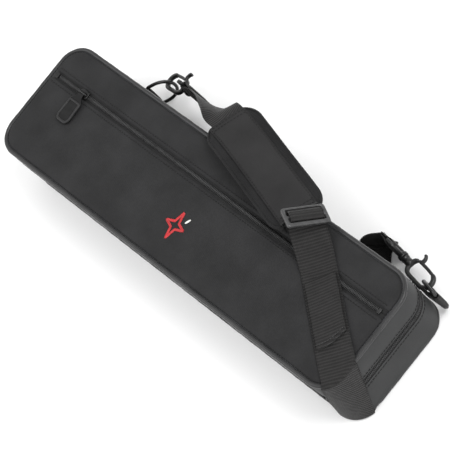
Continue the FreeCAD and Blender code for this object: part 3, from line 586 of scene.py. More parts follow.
# Back panel: flat to rest on, pressed in where the strap runs under it.
RUN_START = np.array([201.0, -50.0])
RUN_DIR, RUN_SIDE = np.array([-0.6, 0.8]), np.array([0.8, 0.6])


def from_run(x, y):
    """Distance to the side of the middle line of the strap's run under the case."""
    return (x - RUN_START[0]) * RUN_SIDE[0] + (y - RUN_START[1]) * RUN_SIDE[1]


x, y = columns(PANEL_INSET, -SIDE, SIDE, 260, 90)
dent = 2.0 / (1 + np.exp(np.minimum((np.abs(from_run(x, y)) - 16.6) / 0.35, 99.0)))
tuck = 1.6 * np.exp(-np.maximum(inside(x, y, 3.8), 0) / 1.1)
sheet_piece("back_face_panel", x, y, 0.02 + np.maximum(dent, tuck), 1.0, SHELL, "base",
            ("back_panel",))

# --- gusset walls ---


def wall(name, z0, z_zip, z_hinge, body, node):
    """The cloth wall from the piping to the zip (or to the hinge tape on the hinge side)."""
    pts, s, mark = rim(0.9, 2.2)
    n, rows = len(pts), 22
    hinge_side = np.pad((np.arange(n) >= mark).astype(float), 4, "wrap")
    soft = np.convolve(hinge_side, np.ones(9) / 9, "valid")
    z_top = (z_zip + (z_hinge - z_zip) * soft)[:, None]
    strap_side = np.clip(pts[:, 3:4], 0, 1)
    t = np.linspace(0, 1, rows)[None]
    z = z0 + (z_top - z0) * t
    p = np.stack(np.broadcast_arrays(pts[:, :1], pts[:, 1:2], z), -1)
    bulge = (0.75 - 0.45 * strap_side) * np.sin(np.pi * t) ** 0.8
    crease = (0.30 - 0.15 * strap_side) * wobble(p * [1, 1, 0.6], 30, 2.0 + z0) * np.sin(np.pi * t)
    hem = 0.30 * np.exp(-(np.abs(z_top - z) - 1.1) ** 2 / 0.9)
    normal = level(pts[:, 2:4], 0)[:, None]
    outer = p + normal * (bulge + crease + hem * (1 - soft[:, None]))[..., None]
    count = n * rows
    faces = grid_faces(n, rows, True, False)
    faces += [tuple(k + count for k in f[::-1]) for f in faces]
    for i in range(n):
        for j, way in ((0, 1), (rows - 1, -1)):
            a, b = i * rows + j, (i + 1) % n * rows + j
            faces.append((b, a, a + count, b + count)[::way])
    if z_zip < z0:
        faces = [f[::-1] for f in faces]
    return make(name, np.vstack([outer.reshape(-1, 3), (p - normal).reshape(-1, 3)]), faces, GUSSET, body,
                (node,), np.vstack([uv_grid(s[:, None], z)] * 2))


wall("base_gusset_wall", 2.4, ZIP_Z - 3.8, ZIP_Z - 0.6, "base", "base_gusset")
wall("lid_gusset_wall", DEPTH - 2.4, ZIP_Z + 3.8, ZIP_Z + 0.6, "lid", "lid_gusset")

# --- piping ---
pts, s, _ = rim(2.0, 1.6)
for name, z, body, node in (("front_piping_cord", DEPTH - 2.0, "lid", "front_piping"),
                            ("back_piping_cord", 2.0, "base", "back_piping")):
    radius = 1.92 + 0.07 * np.sin(s / 2.7 + 1.5 * np.sin(s / 17.0)) + 0.04 * np.sin(s / 1.1)
    press = np.zeros(len(s))
    if body == "base":
        off = from_run(pts[:, 0], pts[:, 1])
        press = 1 / (1 + np.exp((np.abs(off) - 17.5) / 0.7)) * (pts[:, 0] > 60)
    radii = np.stack([radius, radius * (1 - 0.47 * press)], -1)
    sweep(name, level(pts, z + 0.95 * press), radii, PIPING, body, (node,), True, 14)

seam, _, _ = rim(4.6, 2.0)
line = level(seam, face_height(seam[:, 0], seam[:, 1]) + 0.1)
stitches("front_seam_stitch", np.vstack([line, line[:1]]), (0, 0, 1), "lid", THREAD, 2.6,
         (0.25, 0.9))

# --- zips ---
PITCH = 1.5
TOOTH = ((-1.35, 0.5), (-0.7425, 0.85), (0.0, 1.0), (0.837, 1.05), (1.35, 0.6))


def teeth(name, centres, along, reach, out, body, replaces):
    """Coil turns at centres: `along` the chain, `reach` toward the mating half, `out` of the cloth."""
    along, reach, out = (np.broadcast_to(d, centres.shape) for d in (along, reach, out))
    verts, faces = grains(centres, reach, along, out, TOOTH, 0.5, 0.62)
    return make(name, verts, faces, COIL, body, replaces)


TAPE_Z = FACE_Z - 1.2
COIL_Z = TAPE_Z + 1.3
xs = np.arange(-HALF_L + 13.5, HALF_L - 13, PITCH)
tape_x = np.linspace(-HALF_L + 5, HALF_L - 5, 60)
for k, (half, sign) in enumerate((("upper", -1), ("lower", 1))):
    x = xs + PITCH / 2 * k
    centres = np.stack([x, np.full_like(x, POCKET_Y - sign * 0.75), np.full_like(x, COIL_Z)], -1)
    teeth("pocket_teeth_" + half, centres, (1, 0, 0), (0, sign, 0), (0, 0, 1), "lid",
          ("pocket_coil_" + half,))
    line = np.stack([tape_x, np.full(60, POCKET_Y - sign * 2.25), np.full(60, TAPE_Z + 0.35)], -1)
    strip("pocket_zip_tape_" + half, line, (0, 1, 0), (0, 0, 1), 4.3, 0.7, TAPE, "lid",
          ("pocket_tape_" + half,))
for side, sign in (("left", -1), ("right", 1)):
    shape_from_outline("pocket_zip_stop_" + side, [rounded(rect(-1.4, -2.2, 1.4, 2.2), 0.6)], 1.5, 0.3,
                       METAL, "lid", ("pocket_stop_" + side,),
                       Matrix.Translation(Vector((sign * (HALF_L - 10.5), POCKET_Y, COIL_Z + 0.15)) * MM))

fine, s_fine = zip_side(1.25, 1.0)
tape_line, _ = zip_side(1.6, 2.0)
hem_line, _ = zip_side(0.35, 2.0)
at = np.arange(3.0, s_fine[-1] - 3.0, PITCH)
for k, (half, way) in enumerate((("base", 1), ("lid", -1))):
    c = sample(at + PITCH / 2 * k, s_fine, fine)
    n = unit(level(c[:, 2:4], 0))
    teeth("main_teeth_" + half, level(c, ZIP_Z - way * 0.75), np.cross([0, 0, 1], n), (0, 0, way), n, half,
          (half + "_zip_coil",))
    strip(half + "_zip_tape_band", level(tape_line, ZIP_Z - way * 2.9), (0, 0, 1),
          unit(level(tape_line[:, 2:4], 0)), 3.4, 0.7, TAPE, half, (half + "_zip_tape",))
    stitches(half + "_hem_stitch", level(hem_line, ZIP_Z - way * MAIN_HEM), unit(level(hem_line[:, 2:4], 0)),
             half, THREAD)

# Hinge tape: a flat band between the two halves.
X, Z = np.meshgrid(np.linspace(-HALF_L + RADIUS, HALF_L - RADIUS, 150),
                   np.linspace(ZIP_Z - 5, ZIP_Z + 5, 21), indexing="ij")
Y = -SIDE + 0.12 + 0.05 * np.sin(X / 7.0)
outer = np.stack([X, Y, Z], -1).reshape(-1, 3)
hinge = make("hinge_tape_band", np.vstack([outer, outer + [0, 0.5, 0]]), two_layers(*X.shape, -1, 1), TAPE,
             None, ("hinge_tape",), np.vstack([uv_grid(Z, X)] * 2))
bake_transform(hinge)

# --- lining ---
for half, way, z_floor, z_rim in (("base", 1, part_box("back_board")[1][2] / MM + 0.8, ZIP_Z - 6.0),
                                  ("lid", -1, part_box("front_board")[0][2] / MM - 0.8, ZIP_Z + 6.0)):
    x, y = columns(LINING_INSET, -SIDE, SIDE, 150, 44)
    edge = np.maximum(inside(x, y, 7.4), 0)
    puff = 0.5 * (1 - np.exp(-edge / 6)) * (1 + 0.35 * np.cos(x / 24 * math.pi) * np.cos(y / 24 * math.pi))
    sheet_piece(half + "_lining_floor", x, y, z_floor - way * 0.6 + way * puff, -way * 0.15, LINING, half,
                (half + "_lining",))
    rows = [(7.4, z_floor - way * 0.5), (7.45, z_floor + way * 3), (7.5, z_floor + way * 8),
            (7.5, (z_floor + z_rim) / 2), (7.45, z_rim - way * 3), (7.2, z_rim - way * 0.6),
            (6.6, z_rim + way * 0.25), (5.2, z_rim + way * 0.6), (3.6, z_rim + way * 0.6),
            (2.3, z_rim + way * 0.1)]
    rings = []
    for inset, height in rows:
        p, _, _ = rim(inset, 3.0)
        q = level(p, height)
        sag = 0.25 * wobble(q, 26, 4.0) * (1 if 7.0 < inset else 0)
        rings.append(q - level(p[:, 2:4], 0) * np.maximum(sag, -0.1)[:, None])
    faces = [f[::way] for f in grid_faces(len(rows), len(rings[0]), False, True)]
    piece = make(half + "_lining_wall", np.vstack(rings), faces, LINING, half)
    body_mod = piece.modifiers.new("thickness", "SOLIDIFY")
    body_mod.thickness, body_mod.offset = 0.5 * MM, -1.0

# --- sliders and pulls ---


def zip_slider(body, place, long, span, bar_rise):
    """A die-cast slider in its own frame: X along the zip, Z out of the cloth, and its bail."""
    half = long / 2
    nose = [(-half, 0), (-half + 1.2, 3.3), (-half + 4, 3.9), (half - 1.2, 3.0), (half, 2.0),
            (half, -2.0), (half - 1.2, -3.0), (-half + 4, -3.9), (-half + 1.2, -3.3)]
    shape_from_outline(body + "_plate", [rounded(nose, 1.1, 4)], 1.5, 0.45, METAL, body,
                       (body,), place, 0.95)
    for k, sign in enumerate((-1, 1)):
        flank = rounded(rect(-half + 1.0, sign * 2.9 - 0.5, half - 1.0, sign * 2.9 + 0.5), 0.5, 3)
        shape_from_outline("%s_flank_%d" % (body, k), [flank], 1.5, 0.35, METAL, body, (),
                           place, -0.1)
    foot = span / 2
    arch = [(-foot - 0.4, 0, 1.2), (-foot, 0, bar_rise - 1.2), (-foot + 1.0, 0, bar_rise - 0.05)]
    arch += [(0, 0, bar_rise)] + [(-px, 0, pz) for px, _, pz in arch[::-1]]
    sweep(body + "_bail", to_frame(place, smooth_path(arch, 32)), (0.85, 0.72), METAL, body, (),
          False, 10, up=axis_of(place, 1))


def moulded_pull(body, place, long, neck, wide, thick):
    """A broad moulded pull hanging from a bar along X at its origin, toward -Y."""
    side = [(neck, 1.9), (neck, -4.0), (wide - 0.6, -8.6), (wide, -long + 4.0), (wide - 2.4, -long)]
    eye = rounded(rect(-neck + 1.2, -1.1, neck - 1.2, 1.1), 0.6, 4)
    shape_from_outline(body + "_tab", [rounded(mirrored(side), 2.0, 6), eye], thick * 0.72, 0.5, PULL, body,
                       (body,), place)
    # A raised rim on both faces, in the lighter edge moulding: painted highlight along the pull's edge.
    inner = [(wide - 2.6, -10.2), (wide - 2.0, -long + 5.0), (wide - 3.6, -long + 2.4)]
    lip = [(wide - 0.9, -8.9), (wide - 0.4, -long + 4.2), (wide - 2.7, -long + 0.5)]
    ring = [rounded(mirrored(lip), 1.8, 6), rounded(mirrored(inner), 1.3, 6)]
    for k, lift in enumerate((thick * 0.36, -thick * 0.36)):
        shape_from_outline("%s_rim_%d" % (body, k), ring, 0.8, 0.38, PULL_EDGE_HIGHLIGHT, body, (),
                           place, lift)


joints = {j["name"]: j for j in frame["record"]["behaviour"]["joints"]}
at = np.array(joints["pocket_pull_flip"]["pos_m"]) / MM
SEAT_Z = COIL_Z + 0.45
zip_slider("pocket_slider", frame_matrix((at[0], at[1], SEAT_Z), (1, 0, 0), (0, 1, 0)), 11.0, 8.2,
           at[2] - SEAT_Z)
REST_TILT = math.radians(2.0)
pull_at = frame_matrix(at, (1, 0, 0), (0, math.cos(REST_TILT), math.sin(REST_TILT)))
moulded_pull("pocket_pull", pull_at, 30.0, 2.9, 8.0, 1.9)
SEAT_Y = SIDE - 0.35
for side in ("left", "right"):
    at = np.array(joints["main_pull_flip_" + side]["pos_m"]) / MM
    zip_slider("main_slider_" + side, frame_matrix((at[0], SEAT_Y, ZIP_Z), (-1, 0, 0), (0, 0, 1)), 11.0,
               7.8, at[1] - SEAT_Y)
    moulded_pull("main_pull_" + side, frame_matrix(at, (-1, 0, 0), (0, 0, 1)), 25.0, 2.7, 5.0, 1.6)

# --- badge: a satin-stitched four-pointed star with a pale spark ---
_lo, _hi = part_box("badge")
badge_x, badge_y = (_lo[0] + _hi[0]) / 2 / MM, (_lo[1] + _hi[1]) / 2 / MM


def satin(name, path, width, material, closed, replaces=()):
    """Thread laid side by side across a path on the front face; an open path tapers at its ends."""
    path = np.asarray(path + path[:1] if closed else path, float)
    s = arc_length(path)
    at = np.arange(0.2, s[-1], 0.42)
    mid = sample(at, s, path)
    step = unit(sample(np.minimum(at + 0.9, s[-1]), s, path) - sample(np.maximum(at - 0.9, 0), s, path))
    cross = unit(np.stack([-step[:, 1], step[:, 0]], -1) + 0.35 * step)
    verts, faces = [], []
    for i in range(len(at)):
        w = width / 2 * (1 + 0.08 * math.sin(i * 2.399))
        if not closed:
            w *= math.sin(math.pi * min(1.0, 0.12 + at[i] / s[-1] * 0.82))
        faces += grid_faces(5, 5, False, True, len(verts))
        for u, h in ((-1, -0.15), (-0.75, 0.22), (0, 0.36), (0.75, 0.22), (1, -0.15)):
            p = mid[i] + cross[i] * w * u
            z = float(face_height(p[0], p[1])) + 0.12 + h
            for ang in np.arange(5) * 2 * math.pi / 5:
                verts.append((*(p + step[i] * 0.26 * math.cos(ang)), z + 0.2 * math.sin(ang)))
    return make(name, verts, faces, material, "lid", replaces)


star = []
for i, (rx, ry) in enumerate(((10.2, 12.4), (3.5, 3.9)) * 4):
    a = math.pi / 4 * i
    star.append((badge_x + rx * math.sin(a), badge_y + ry * math.cos(a)))
satin("badge_star", star, 2.4, RED, True, ("badge",))
satin("badge_spark", [(badge_x + 7.0, badge_y + 6.0), (badge_x + 9.6, badge_y + 11.0)], 2.0, WHITE, False)

# --- D-rings, tabs and hooks ---
RING_Z, BAR_Y = 19.0, SIDE + 2.6
RING_BOW, RING_RUN, RING_CORNER = 14.0, 6.8, 3.0
TAB_Y = SIDE + 0.55
RING = ([(0, q) for q in np.linspace(RING_BOW - RING_CORNER, RING_CORNER - RING_BOW, 12)]
        + arc(RING_CORNER, RING_CORNER - RING_BOW, RING_CORNER, 180, 270, 7)[1:]
        + arc(RING_RUN, 0, RING_BOW, -90, 90, 30)
        + arc(RING_CORNER, RING_BOW - RING_CORNER, RING_CORNER, 90, 180, 7)[:-1])
TAB_LOOP = ([(-15.5, -0.1), (-9, -0.15), (-3.4, -0.1)] + arc(0, BAR_Y - TAB_Y, 2.25, -90, 90, 5)
            + arc(0, BAR_Y - TAB_Y, 2.25, 130, 130, 1)
            + [(-4.6, 2.0), (-7.5, 1.05), (-11, 0.95), (-15.2, 0.95)])
TAB_ROWS = (("stitch_%s_0", -6.6, -6.6), ("stitch_%s_1", -13.6, -13.6), ("cross_%s", -6.6, -13.6))
for side, bar_x, way, tilt in (("left", -142.5, 1, 60), ("right", 206.4, -1, 12)):
    tilt = math.radians(tilt)
    u = np.array([way * math.cos(tilt), math.sin(tilt), 0])
    path = np.array([[bar_x, BAR_Y, RING_Z] + u * p + np.array([0, 0, q]) for p, q in RING])
    sweep("d_ring_wire_" + side, path, 1.5, WIRE, "base", ("d_ring_" + side,), True, 14,
          up=np.cross(u, [0, 0, 1]))
    path = smooth_path([(bar_x + px, TAB_Y + py, RING_Z) for px, py in TAB_LOOP], 60)
    strip("d_ring_tab_loop_" + side, path, (0, 0, 1), None, 20.0, 0.95, WEBBING, "base",
          ("d_ring_tab_" + side,))
    for row, low_x, high_x in TAB_ROWS:
        line = [(bar_x + low_x, TAB_Y + 1.5, RING_Z - 8.5), (bar_x + high_x, TAB_Y + 1.5, RING_Z + 8.5)]
        stitches("d_ring_tab_" + row % side, line, (0, 1, 0), "base", STITCH, 2.0, (0.28, 0.8))

EYE_BAR_U, WEB_START_U = -11.5, -22.0  # along a hook's axis: the eye's bar, where the webbing starts
BAR_STITCH, SLEEVE_STITCH = (0.3, 0.9), (0.3, 1.05)
PLACES = {}
for side in ("left", "right"):
    swivel = joints["hook_swivel_" + side]
    place = frame_matrix(np.array(swivel["pos_m"]) / MM, swivel["axis"], (0, 1, 0))
    PLACES[side] = place
    hook, gate = "hook_" + side, "gate_" + side
    long_axis, v_axis, w_axis = (axis_of(place, k) for k in range(3))

    def plastic(name, line, radii, body, replaces, sides, squareness=3.0, material=ACETAL, up=w_axis):
        sweep("%s_%s" % (name, side), to_frame(place, line), radii, material, body, replaces,
              False, sides, up, squareness)

    spine = [(10.9, 6.3), (8.7, 3.6), (8.0, -2.0), (9.8, -5.2), (13.5, -6.55), (20, -6.6)]
    spine += arc(27.8, 0, 6.6, -90, 88, 15)
    t = np.linspace(0, 1, 70)
    swell = 1.75 + 0.35 * np.exp(-((t - 0.12) / 0.1) ** 2) + 0.3 * np.exp(-((t - 0.8) / 0.16) ** 2)
    swell = swell * np.clip(0.55 + (1 - t) * 9, 0, 1) * np.clip(0.72 + t * 6, 0, 1)
    plastic("hook_claw", smooth_path([(p, q, 0) for p, q in spine], 70),
            np.stack([swell, np.full(70, 1.95)], -1), hook, (hook,), 16)
    neck = [(0.35, 3.0), (0.9, 3.7), (2.0, 3.7), (2.5, 2.8), (3.2, 2.8), (3.8, 3.5), (6.4, 3.6), (8.2, 3.2),
            (9.2, 2.4)]
    plastic("hook_neck", [(p, 0, 0) for p, _ in neck], [(r, r) for _, r in neck], hook, (), 18, 2.0)
    plastic("gate_bar", smooth_path([(11.9, 6.5, 0), (16, 6.7, 0), (22, 6.75, 0), (27.7, 6.5, 0)], 20),
            (1.35, 1.45), gate, (gate,), 12)
    lever = smooth_path([(14.0, 7.0, 0), (14.6, 9.2, 0), (13.8, 11.6, 0), (12.0, 13.2, 0)], 16)
    plastic("gate_lever", lever, np.linspace((1.7, 1.4), (1.15, 1.9), 16), gate, (), 12)
    plastic("gate_pin", [(13.5, 6.6, w) for w in (-2.15, -1.9, 1.9, 2.15)],
            [(0.6, 0.6), (0.95, 0.95), (0.95, 0.95), (0.6, 0.6)], gate, (), 14, 2.0, METAL, long_axis)
    flank = [(18.4, -13.0), (18.4, -6.0), (12.5, -2.6), (4.6, -0.6)]
    eye = [rounded(mirrored(flank), 2.4, 6), rounded(rect(-15.5, -10, 15.5, -5.2), 1.2)]
    shape_from_outline("eye_frame_" + side, eye, 3.0, 0.9, ACETAL, "base", ("eye_" + side,),
                       frame_matrix(to_frame(place, (0, 0, 0)), w_axis, long_axis))
    cup = [(-4.6, 2.6), (-4.1, 3.7), (-3.0, 4.2), (-1.0, 4.2), (-0.3, 3.8), (-0.05, 2.9)]
    plastic("eye_cup", [(p, 0, 0) for p, _ in cup], [(r, r) for _, r in cup], "base", (), 20, 2.0)
    wrap = [(-23.4, -0.85), (-21, -0.85), (-18, -0.9), (-15.0, -1.7)]
    wrap += [(EYE_BAR_U + 2.6 * math.cos(a), 2.6 * math.sin(a)) for a in np.radians([-110, -60, 0, 60, 110])]
    wrap += [(-15.0, 1.7), (-18, 0.9), (-21, 0.85), (-23.0, 0.85)]
    strip("strap_loop_" + side, to_frame(place, smooth_path([(p, q, 0) for p, q in wrap], 70)), w_axis, None,
          29.0, 1.5, WEBBING, "base", ("strap_end_" + side,))
    for k, u0 in enumerate((-17.6, -21.6)):
        for face, letter in ((-1, "b"), (1, "a")):
            line = to_frame(place, [(u0, face * 1.75, -13), (u0, face * 1.75, 13)])
            stitches("strap_loop_stitch_%s_%d_%s" % (side, k, letter), line, v_axis * face, "base",
                     STITCH, 2.4, BAR_STITCH)

# --- strap webbing ---
STRAP_W, STRAP_T = 30.0, 1.6
FRONT_SIDE, FRONT_DIR = unit([0.593, 0.805, 0])[:2], unit([0.805, -0.593, 0])[:2]
FRONT_START = np.array([131.0, 20.8])
FLAT_Z, UNDER_Z = DEPTH + 0.6 + STRAP_T / 2, STRAP_T / 2  # the strap's middle on the front and below
ws = np.linspace(-STRAP_W / 2, STRAP_W / 2, 15)


def hit(start, direction, offset):
    """Where a line from inside crosses the outline grown by offset."""
    lo, hi = 0.0, 400.0
    for _ in range(50):
        m = (lo + hi) / 2
        p = start + direction * m
        lo, hi = (m, hi) if inside(p[0], p[1], -offset) > 0 else (lo, m)
    return start + direction * lo


grown, s_grown, _ = rim(-1.1, 0.8)


def on_wall(p):
    """Where a point lies along the grown outline, measured both ways from the hinge side's right end."""
    s = s_grown[np.argmin(np.hypot(grown[:, 0] - p[0], grown[:, 1] - p[1]))]
    return s - s_grown[-1] if s > s_grown[-1] / 2 else s


def wall_point(s, z, out):
    g = sample(s % s_grown[-1], s_grown, grown)
    return np.array([g[0] + g[2] * out, g[1] + g[3] * out, z])


def front_height(p):
    return max(FLAT_Z, float(face_height(p[0], p[1])) + 0.35 + STRAP_T / 2)


curl_end = to_frame(PLACES["right"], (WEB_START_U, 0, 0))
rise = [((97, 47, 79.5), (0.46, 0.76, -0.42), (0.1, 0.3, 1)),
        ((104, 42.0, 78.4), (0.48, 0.77, -0.40), (0.3, 0.1, 1)),
        ((112, 36.0, 74.5), (0.53, 0.78, -0.30), (0.42, 0.0, 1)),
        ((121, 28.6, 69.5), (0.58, 0.80, -0.12), (0.3, 0, 1)),
        ((131, 20.8, FLAT_Z + 0.6), (0.593, 0.805, 0), (0, 0, 1))]
LEAVE = np.append(RUN_START + RUN_DIR * 135, UNDER_Z)
curl = [(LEAVE, (0.8, 0.6, 0), (0, 0, 1)), ((118.4, 65.2, 3.4), (0.82, 0.55, -0.16), (0.2, -0.4, 0.86)),
        ((121, 67.8, 8.3), (0.655, 0.564, -0.5), (0.69, -0.71, 0.09)),
        ((125.5, 71.0, 14.4), (0.232, 0.348, -0.908), (0.49, -0.81, -0.19)),
        (curl_end, -axis_of(PLACES["right"], 2), (0.17, -0.98, 0))]
rise_c, rise_a, _ = strip_points(rise, 18)
curl_c, curl_a, _ = strip_points(curl, 34)
# Down the end wall: the share of the way from top to bottom, height and distance off the wall.
DOWN = [(0.005, FLAT_Z - 0.25, -0.9), (0.02, FLAT_Z - 0.95, 0.15), (0.035, FLAT_Z - 2.2, 0.25)]
DOWN += [(t, FLAT_Z * (1 - t) + UNDER_Z * t, 0.25 - 0.25 * math.sin(math.pi * t))
         for t in np.linspace(0.06, 0.94, 16)]
DOWN += [(0.965, UNDER_Z + 2.4, 0.25), (0.985, UNDER_Z + 0.9, 0.1), (0.995, UNDER_Z + 0.15, -0.9)]
lines = []
for w in ws:
    start = FRONT_START + FRONT_SIDE * w
    edge = hit(start, FRONT_DIR, 0.0)
    s_top = on_wall(hit(start, FRONT_DIR, 1.1))
    run_start = RUN_START + RUN_SIDE * w + RUN_DIR * 40
    s_low = on_wall(hit(run_start, -RUN_DIR, 1.1))
    foot = hit(run_start, -RUN_DIR, -1.6)
    leave = curl_c[0][:2] + curl_a[0][:2] * w
    line = list((rise_c + rise_a * w)[:-1])
    for t in np.linspace(0, 1, 26):
        p = start + (edge - FRONT_DIR * 2.6 - start) * t
        line.append((*p, front_height(p)))
    line += [wall_point(s_top + (s_low - s_top) * k, z, out) for k, z, out in DOWN]
    line += [(*(foot + (leave - foot) * t), UNDER_Z) for t in np.linspace(0, 1, 24)[:-1]]
    lines.append(np.vstack([line, curl_c + curl_a * w]))
STRAP_GRID = np.stack(lines, 1)


def cloth_band(name, mid, thick, material, replaces=(), edge=0.55, widths=None):
    """A closed band of even thickness either side of a mid surface grid (along, across)."""
    n, m = mid.shape[:2]
    normal = unit(np.cross(np.gradient(mid, axis=1), np.gradient(mid, axis=0)))
    taper = np.ones(m)
    taper[[0, -1]] = edge
    off = normal * (thick / 2) * taper[None, :, None]
    verts = np.vstack([(mid + off).reshape(-1, 3), (mid - off).reshape(-1, 3)])
    s = np.stack([arc_length(mid[:, j]) for j in range(m)], 1)
    u = widths if widths is not None else np.linspace(-STRAP_W / 2, STRAP_W / 2, m)
    return make(name, verts, two_layers(n, m, -1, 1), material, "base", replaces,
                np.vstack([uv_grid(u, s)] * 2))


def station_band(name, stations, count, share, thick, replaces=()):
    """Strap webbing along stations, with a share of the strap's full width."""
    centre, across, _ = strip_points(stations, count)
    return cloth_band(name, centre[:, None] + across[:, None] * (ws[None, :, None] * share), thick, WEBBING,
                      replaces)


long_web = cloth_band("strap_webbing_main", STRAP_GRID, STRAP_T - 0.2, WEBBING,
                      ("strap_webbing_long",))
tail_rows = STRAP_GRID[20:36, 1:-1] + [0, 0, STRAP_T - 0.1]
tail_web = cloth_band("strap_webbing_tail", tail_rows, STRAP_T - 0.3, WEBBING)
end_stitch = stitches("strap_tail_stitch", tail_rows[-2] + [0, 0, 0.75], (0, 0, 1), "base",
                      STITCH, 2.4, BAR_STITCH)
left = PLACES["left"]
short = [(to_frame(left, (WEB_START_U, 0, 0)), axis_of(left, 2), axis_of(left, 1)),
         ((-64, 75.6, 51.3), (0.37, 0.17, -0.91), (-0.05, 0.98, 0.17)),
         ((-46, 75.0, 61.0), (0.37, 0.60, -0.71), (-0.25, 0.78, 0.56)),
         ((-34, 74.0, 69.6), (0.32, 0.93, -0.15), (-0.3, 0.1, 0.9)),
         ((-22, 73, 73.6), (0.3, 0.94, -0.05), (-0.1, 0, 1)), ((-8, 70, 75), (0.3, 0.94, -0.1), (0, 0, 1))]
soft_strap = [long_web, tail_web, end_stitch,
              station_band("strap_webbing_upper", short, 44, 0.97, STRAP_T - 0.2, ("strap_webbing_short",))]

# --- shoulder pad, sleeve and adjuster ---
PAD_STATIONS = [((-26, 72.5, 72.5), (0.30, 0.94, -0.10), (0.1, 0, 1)),
                ((4, 66, 74), (0.27, 0.93, -0.25), (0, 0.2, 1)),
                ((40, 57, 73.5), (0.25, 0.94, -0.25), (0, 0.25, 1)),
                ((74, 48.5, 73), (0.27, 0.95, -0.16), (0, 0.15, 1)),
                ((99, 42, 74), (0.32, 0.93, -0.16), (-0.05, 0.15, 1))]
PAD_W, PAD_T, PAD_DROP, PAD_END = 47.0, 5.6, -1.0, 18.0
ALONG, ACROSS = 72, 25
COLS = 2 * ACROSS
centre, across, normal = strip_points(PAD_STATIONS, ALONG)
length_at = arc_length(centre)
PAD_LONG = length_at[-1]


def pad_width(s):
    """Half width of the pad, with rounded ends."""
    left_over = max(0.0, PAD_END - min(s, PAD_LONG - s))
    return PAD_W / 2 - PAD_END + math.sqrt(max(0.0, PAD_END ** 2 - left_over ** 2))


def pad_cover():
    """The pad's cover: one loop of points round it at each place along it."""
    verts = []
    u = np.sin(np.linspace(-1, 1, ACROSS) * math.pi / 2)
    for i, s in enumerate(length_at):
        half = max(1.0, pad_width(s) - 0.8)
        end = min(1.0, (min(s, PAD_LONG - s) + 1.2) / 5.0)
        for sign in (1, -1):
            for q in u[::sign]:
                fat = (PAD_T - 0.8) / 2 * math.sqrt(max(0.0, 1 - abs(q) ** 5)) * math.sqrt(end)
                verts.append(centre[i] + across[i] * q * half + normal[i] * (PAD_DROP + sign * fat))
    return make("shoulder_pad_cover", verts, tube_faces(ALONG, COLS), PAD, "base",
                ("shoulder_pad",))


def read_points(mesh):
    """The mesh's vertices as one flat list, in metres."""
    co = np.zeros(len(mesh.vertices) * 3)
    mesh.vertices.foreach_get("co", co)
    return co


def inflate(obj, pressure, cap, seam):
    """Short cloth simulation of a filled cover held along its seam; the result is kept, capped."""
    mesh = obj.data
    before = read_points(mesh)
    obj.vertex_groups.new(name="seam").add(seam, 1.0, "REPLACE")
    settings = obj.modifiers.new("cloth", "CLOTH").settings
    settings.vertex_group_mass = "seam"
    settings.use_pressure = True
    settings.uniform_pressure_force = pressure
    settings.effector_weights.gravity = 0
    settings.quality = 6
    settings.tension_stiffness = settings.compression_stiffness = 25
    settings.bending_stiffness = 1.5
    settings.shrink_min = -0.03
    for step in range(1, 21):
        bpy.context.scene.frame_set(step)
    after = read_points(obj.evaluated_get(bpy.context.evaluated_depsgraph_get()).to_mesh())
    obj.to_mesh_clear()
    obj.modifiers.clear()
    bpy.context.scene.frame_set(1)
    move = (after - before).reshape(-1, 3)
    size = np.linalg.norm(move, axis=1, keepdims=True)
    move *= np.minimum(1.0, cap * MM / np.maximum(size, 1e-9))
    mesh.vertices.foreach_set("co", (before.reshape(-1, 3) + move).ravel())
    mesh.update()


pad = pad_cover()
rims = [k + c for k in (0, ACROSS) for c in (0, 1, 2, ACROSS - 3, ACROSS - 2, ACROSS - 1)]
seam = {i * COLS + c for i in range(ALONG) for c in rims}
seam |= {i * COLS + c for i in (0, 1, 2, ALONG - 3, ALONG - 2, ALONG - 1) for c in range(COLS)}
inflate(pad, pressure=4.0, cap=2.5, seam=sorted(seam))

# The cover's face is puffed unevenly and pressed in along its rim.
points = read_points(pad.data).reshape(-1, 3) / MM
i = np.argmin(np.linalg.norm(points[:, None, :] - centre[None], axis=2), axis=1)
side_q = np.sum((points - centre[i]) * across[i], 1)
height = np.sum((points - centre[i]) * normal[i], 1) - PAD_DROP
ridge = 2.3 * np.exp(-((np.abs(side_q) - (PAD_W / 2 - 4.2)) / 1.2) ** 2) * 0.32
puffy = 0.22 * wobble(points, 9.0, 1.3)
limit = PAD_T / 2 + 0.5
shift = np.clip(height, -limit, limit) + np.sign(height) * (puffy - ridge) - height
pad.data.vertices.foreach_set("co", ((points + normal[i] * shift[:, None]) * MM).ravel())
pad.data.update()


def on_pad(s, q, h):
    """Points s mm along the pad, q across it and h above its middle."""
    a, n = (unit(sample(s, length_at, table)) for table in (across, normal))
    return sample(s, length_at, centre) + a * np.asarray(q)[..., None] + n * np.asarray(h)[..., None]


TRIM, SLEEVE_HALF = 5.0, 16.5
SLEEVE_Z = PAD_DROP + PAD_T / 2 + 0.55


def sleeve_bow(q):
    return 1.1 * (1 - (q / SLEEVE_HALF) ** 4)


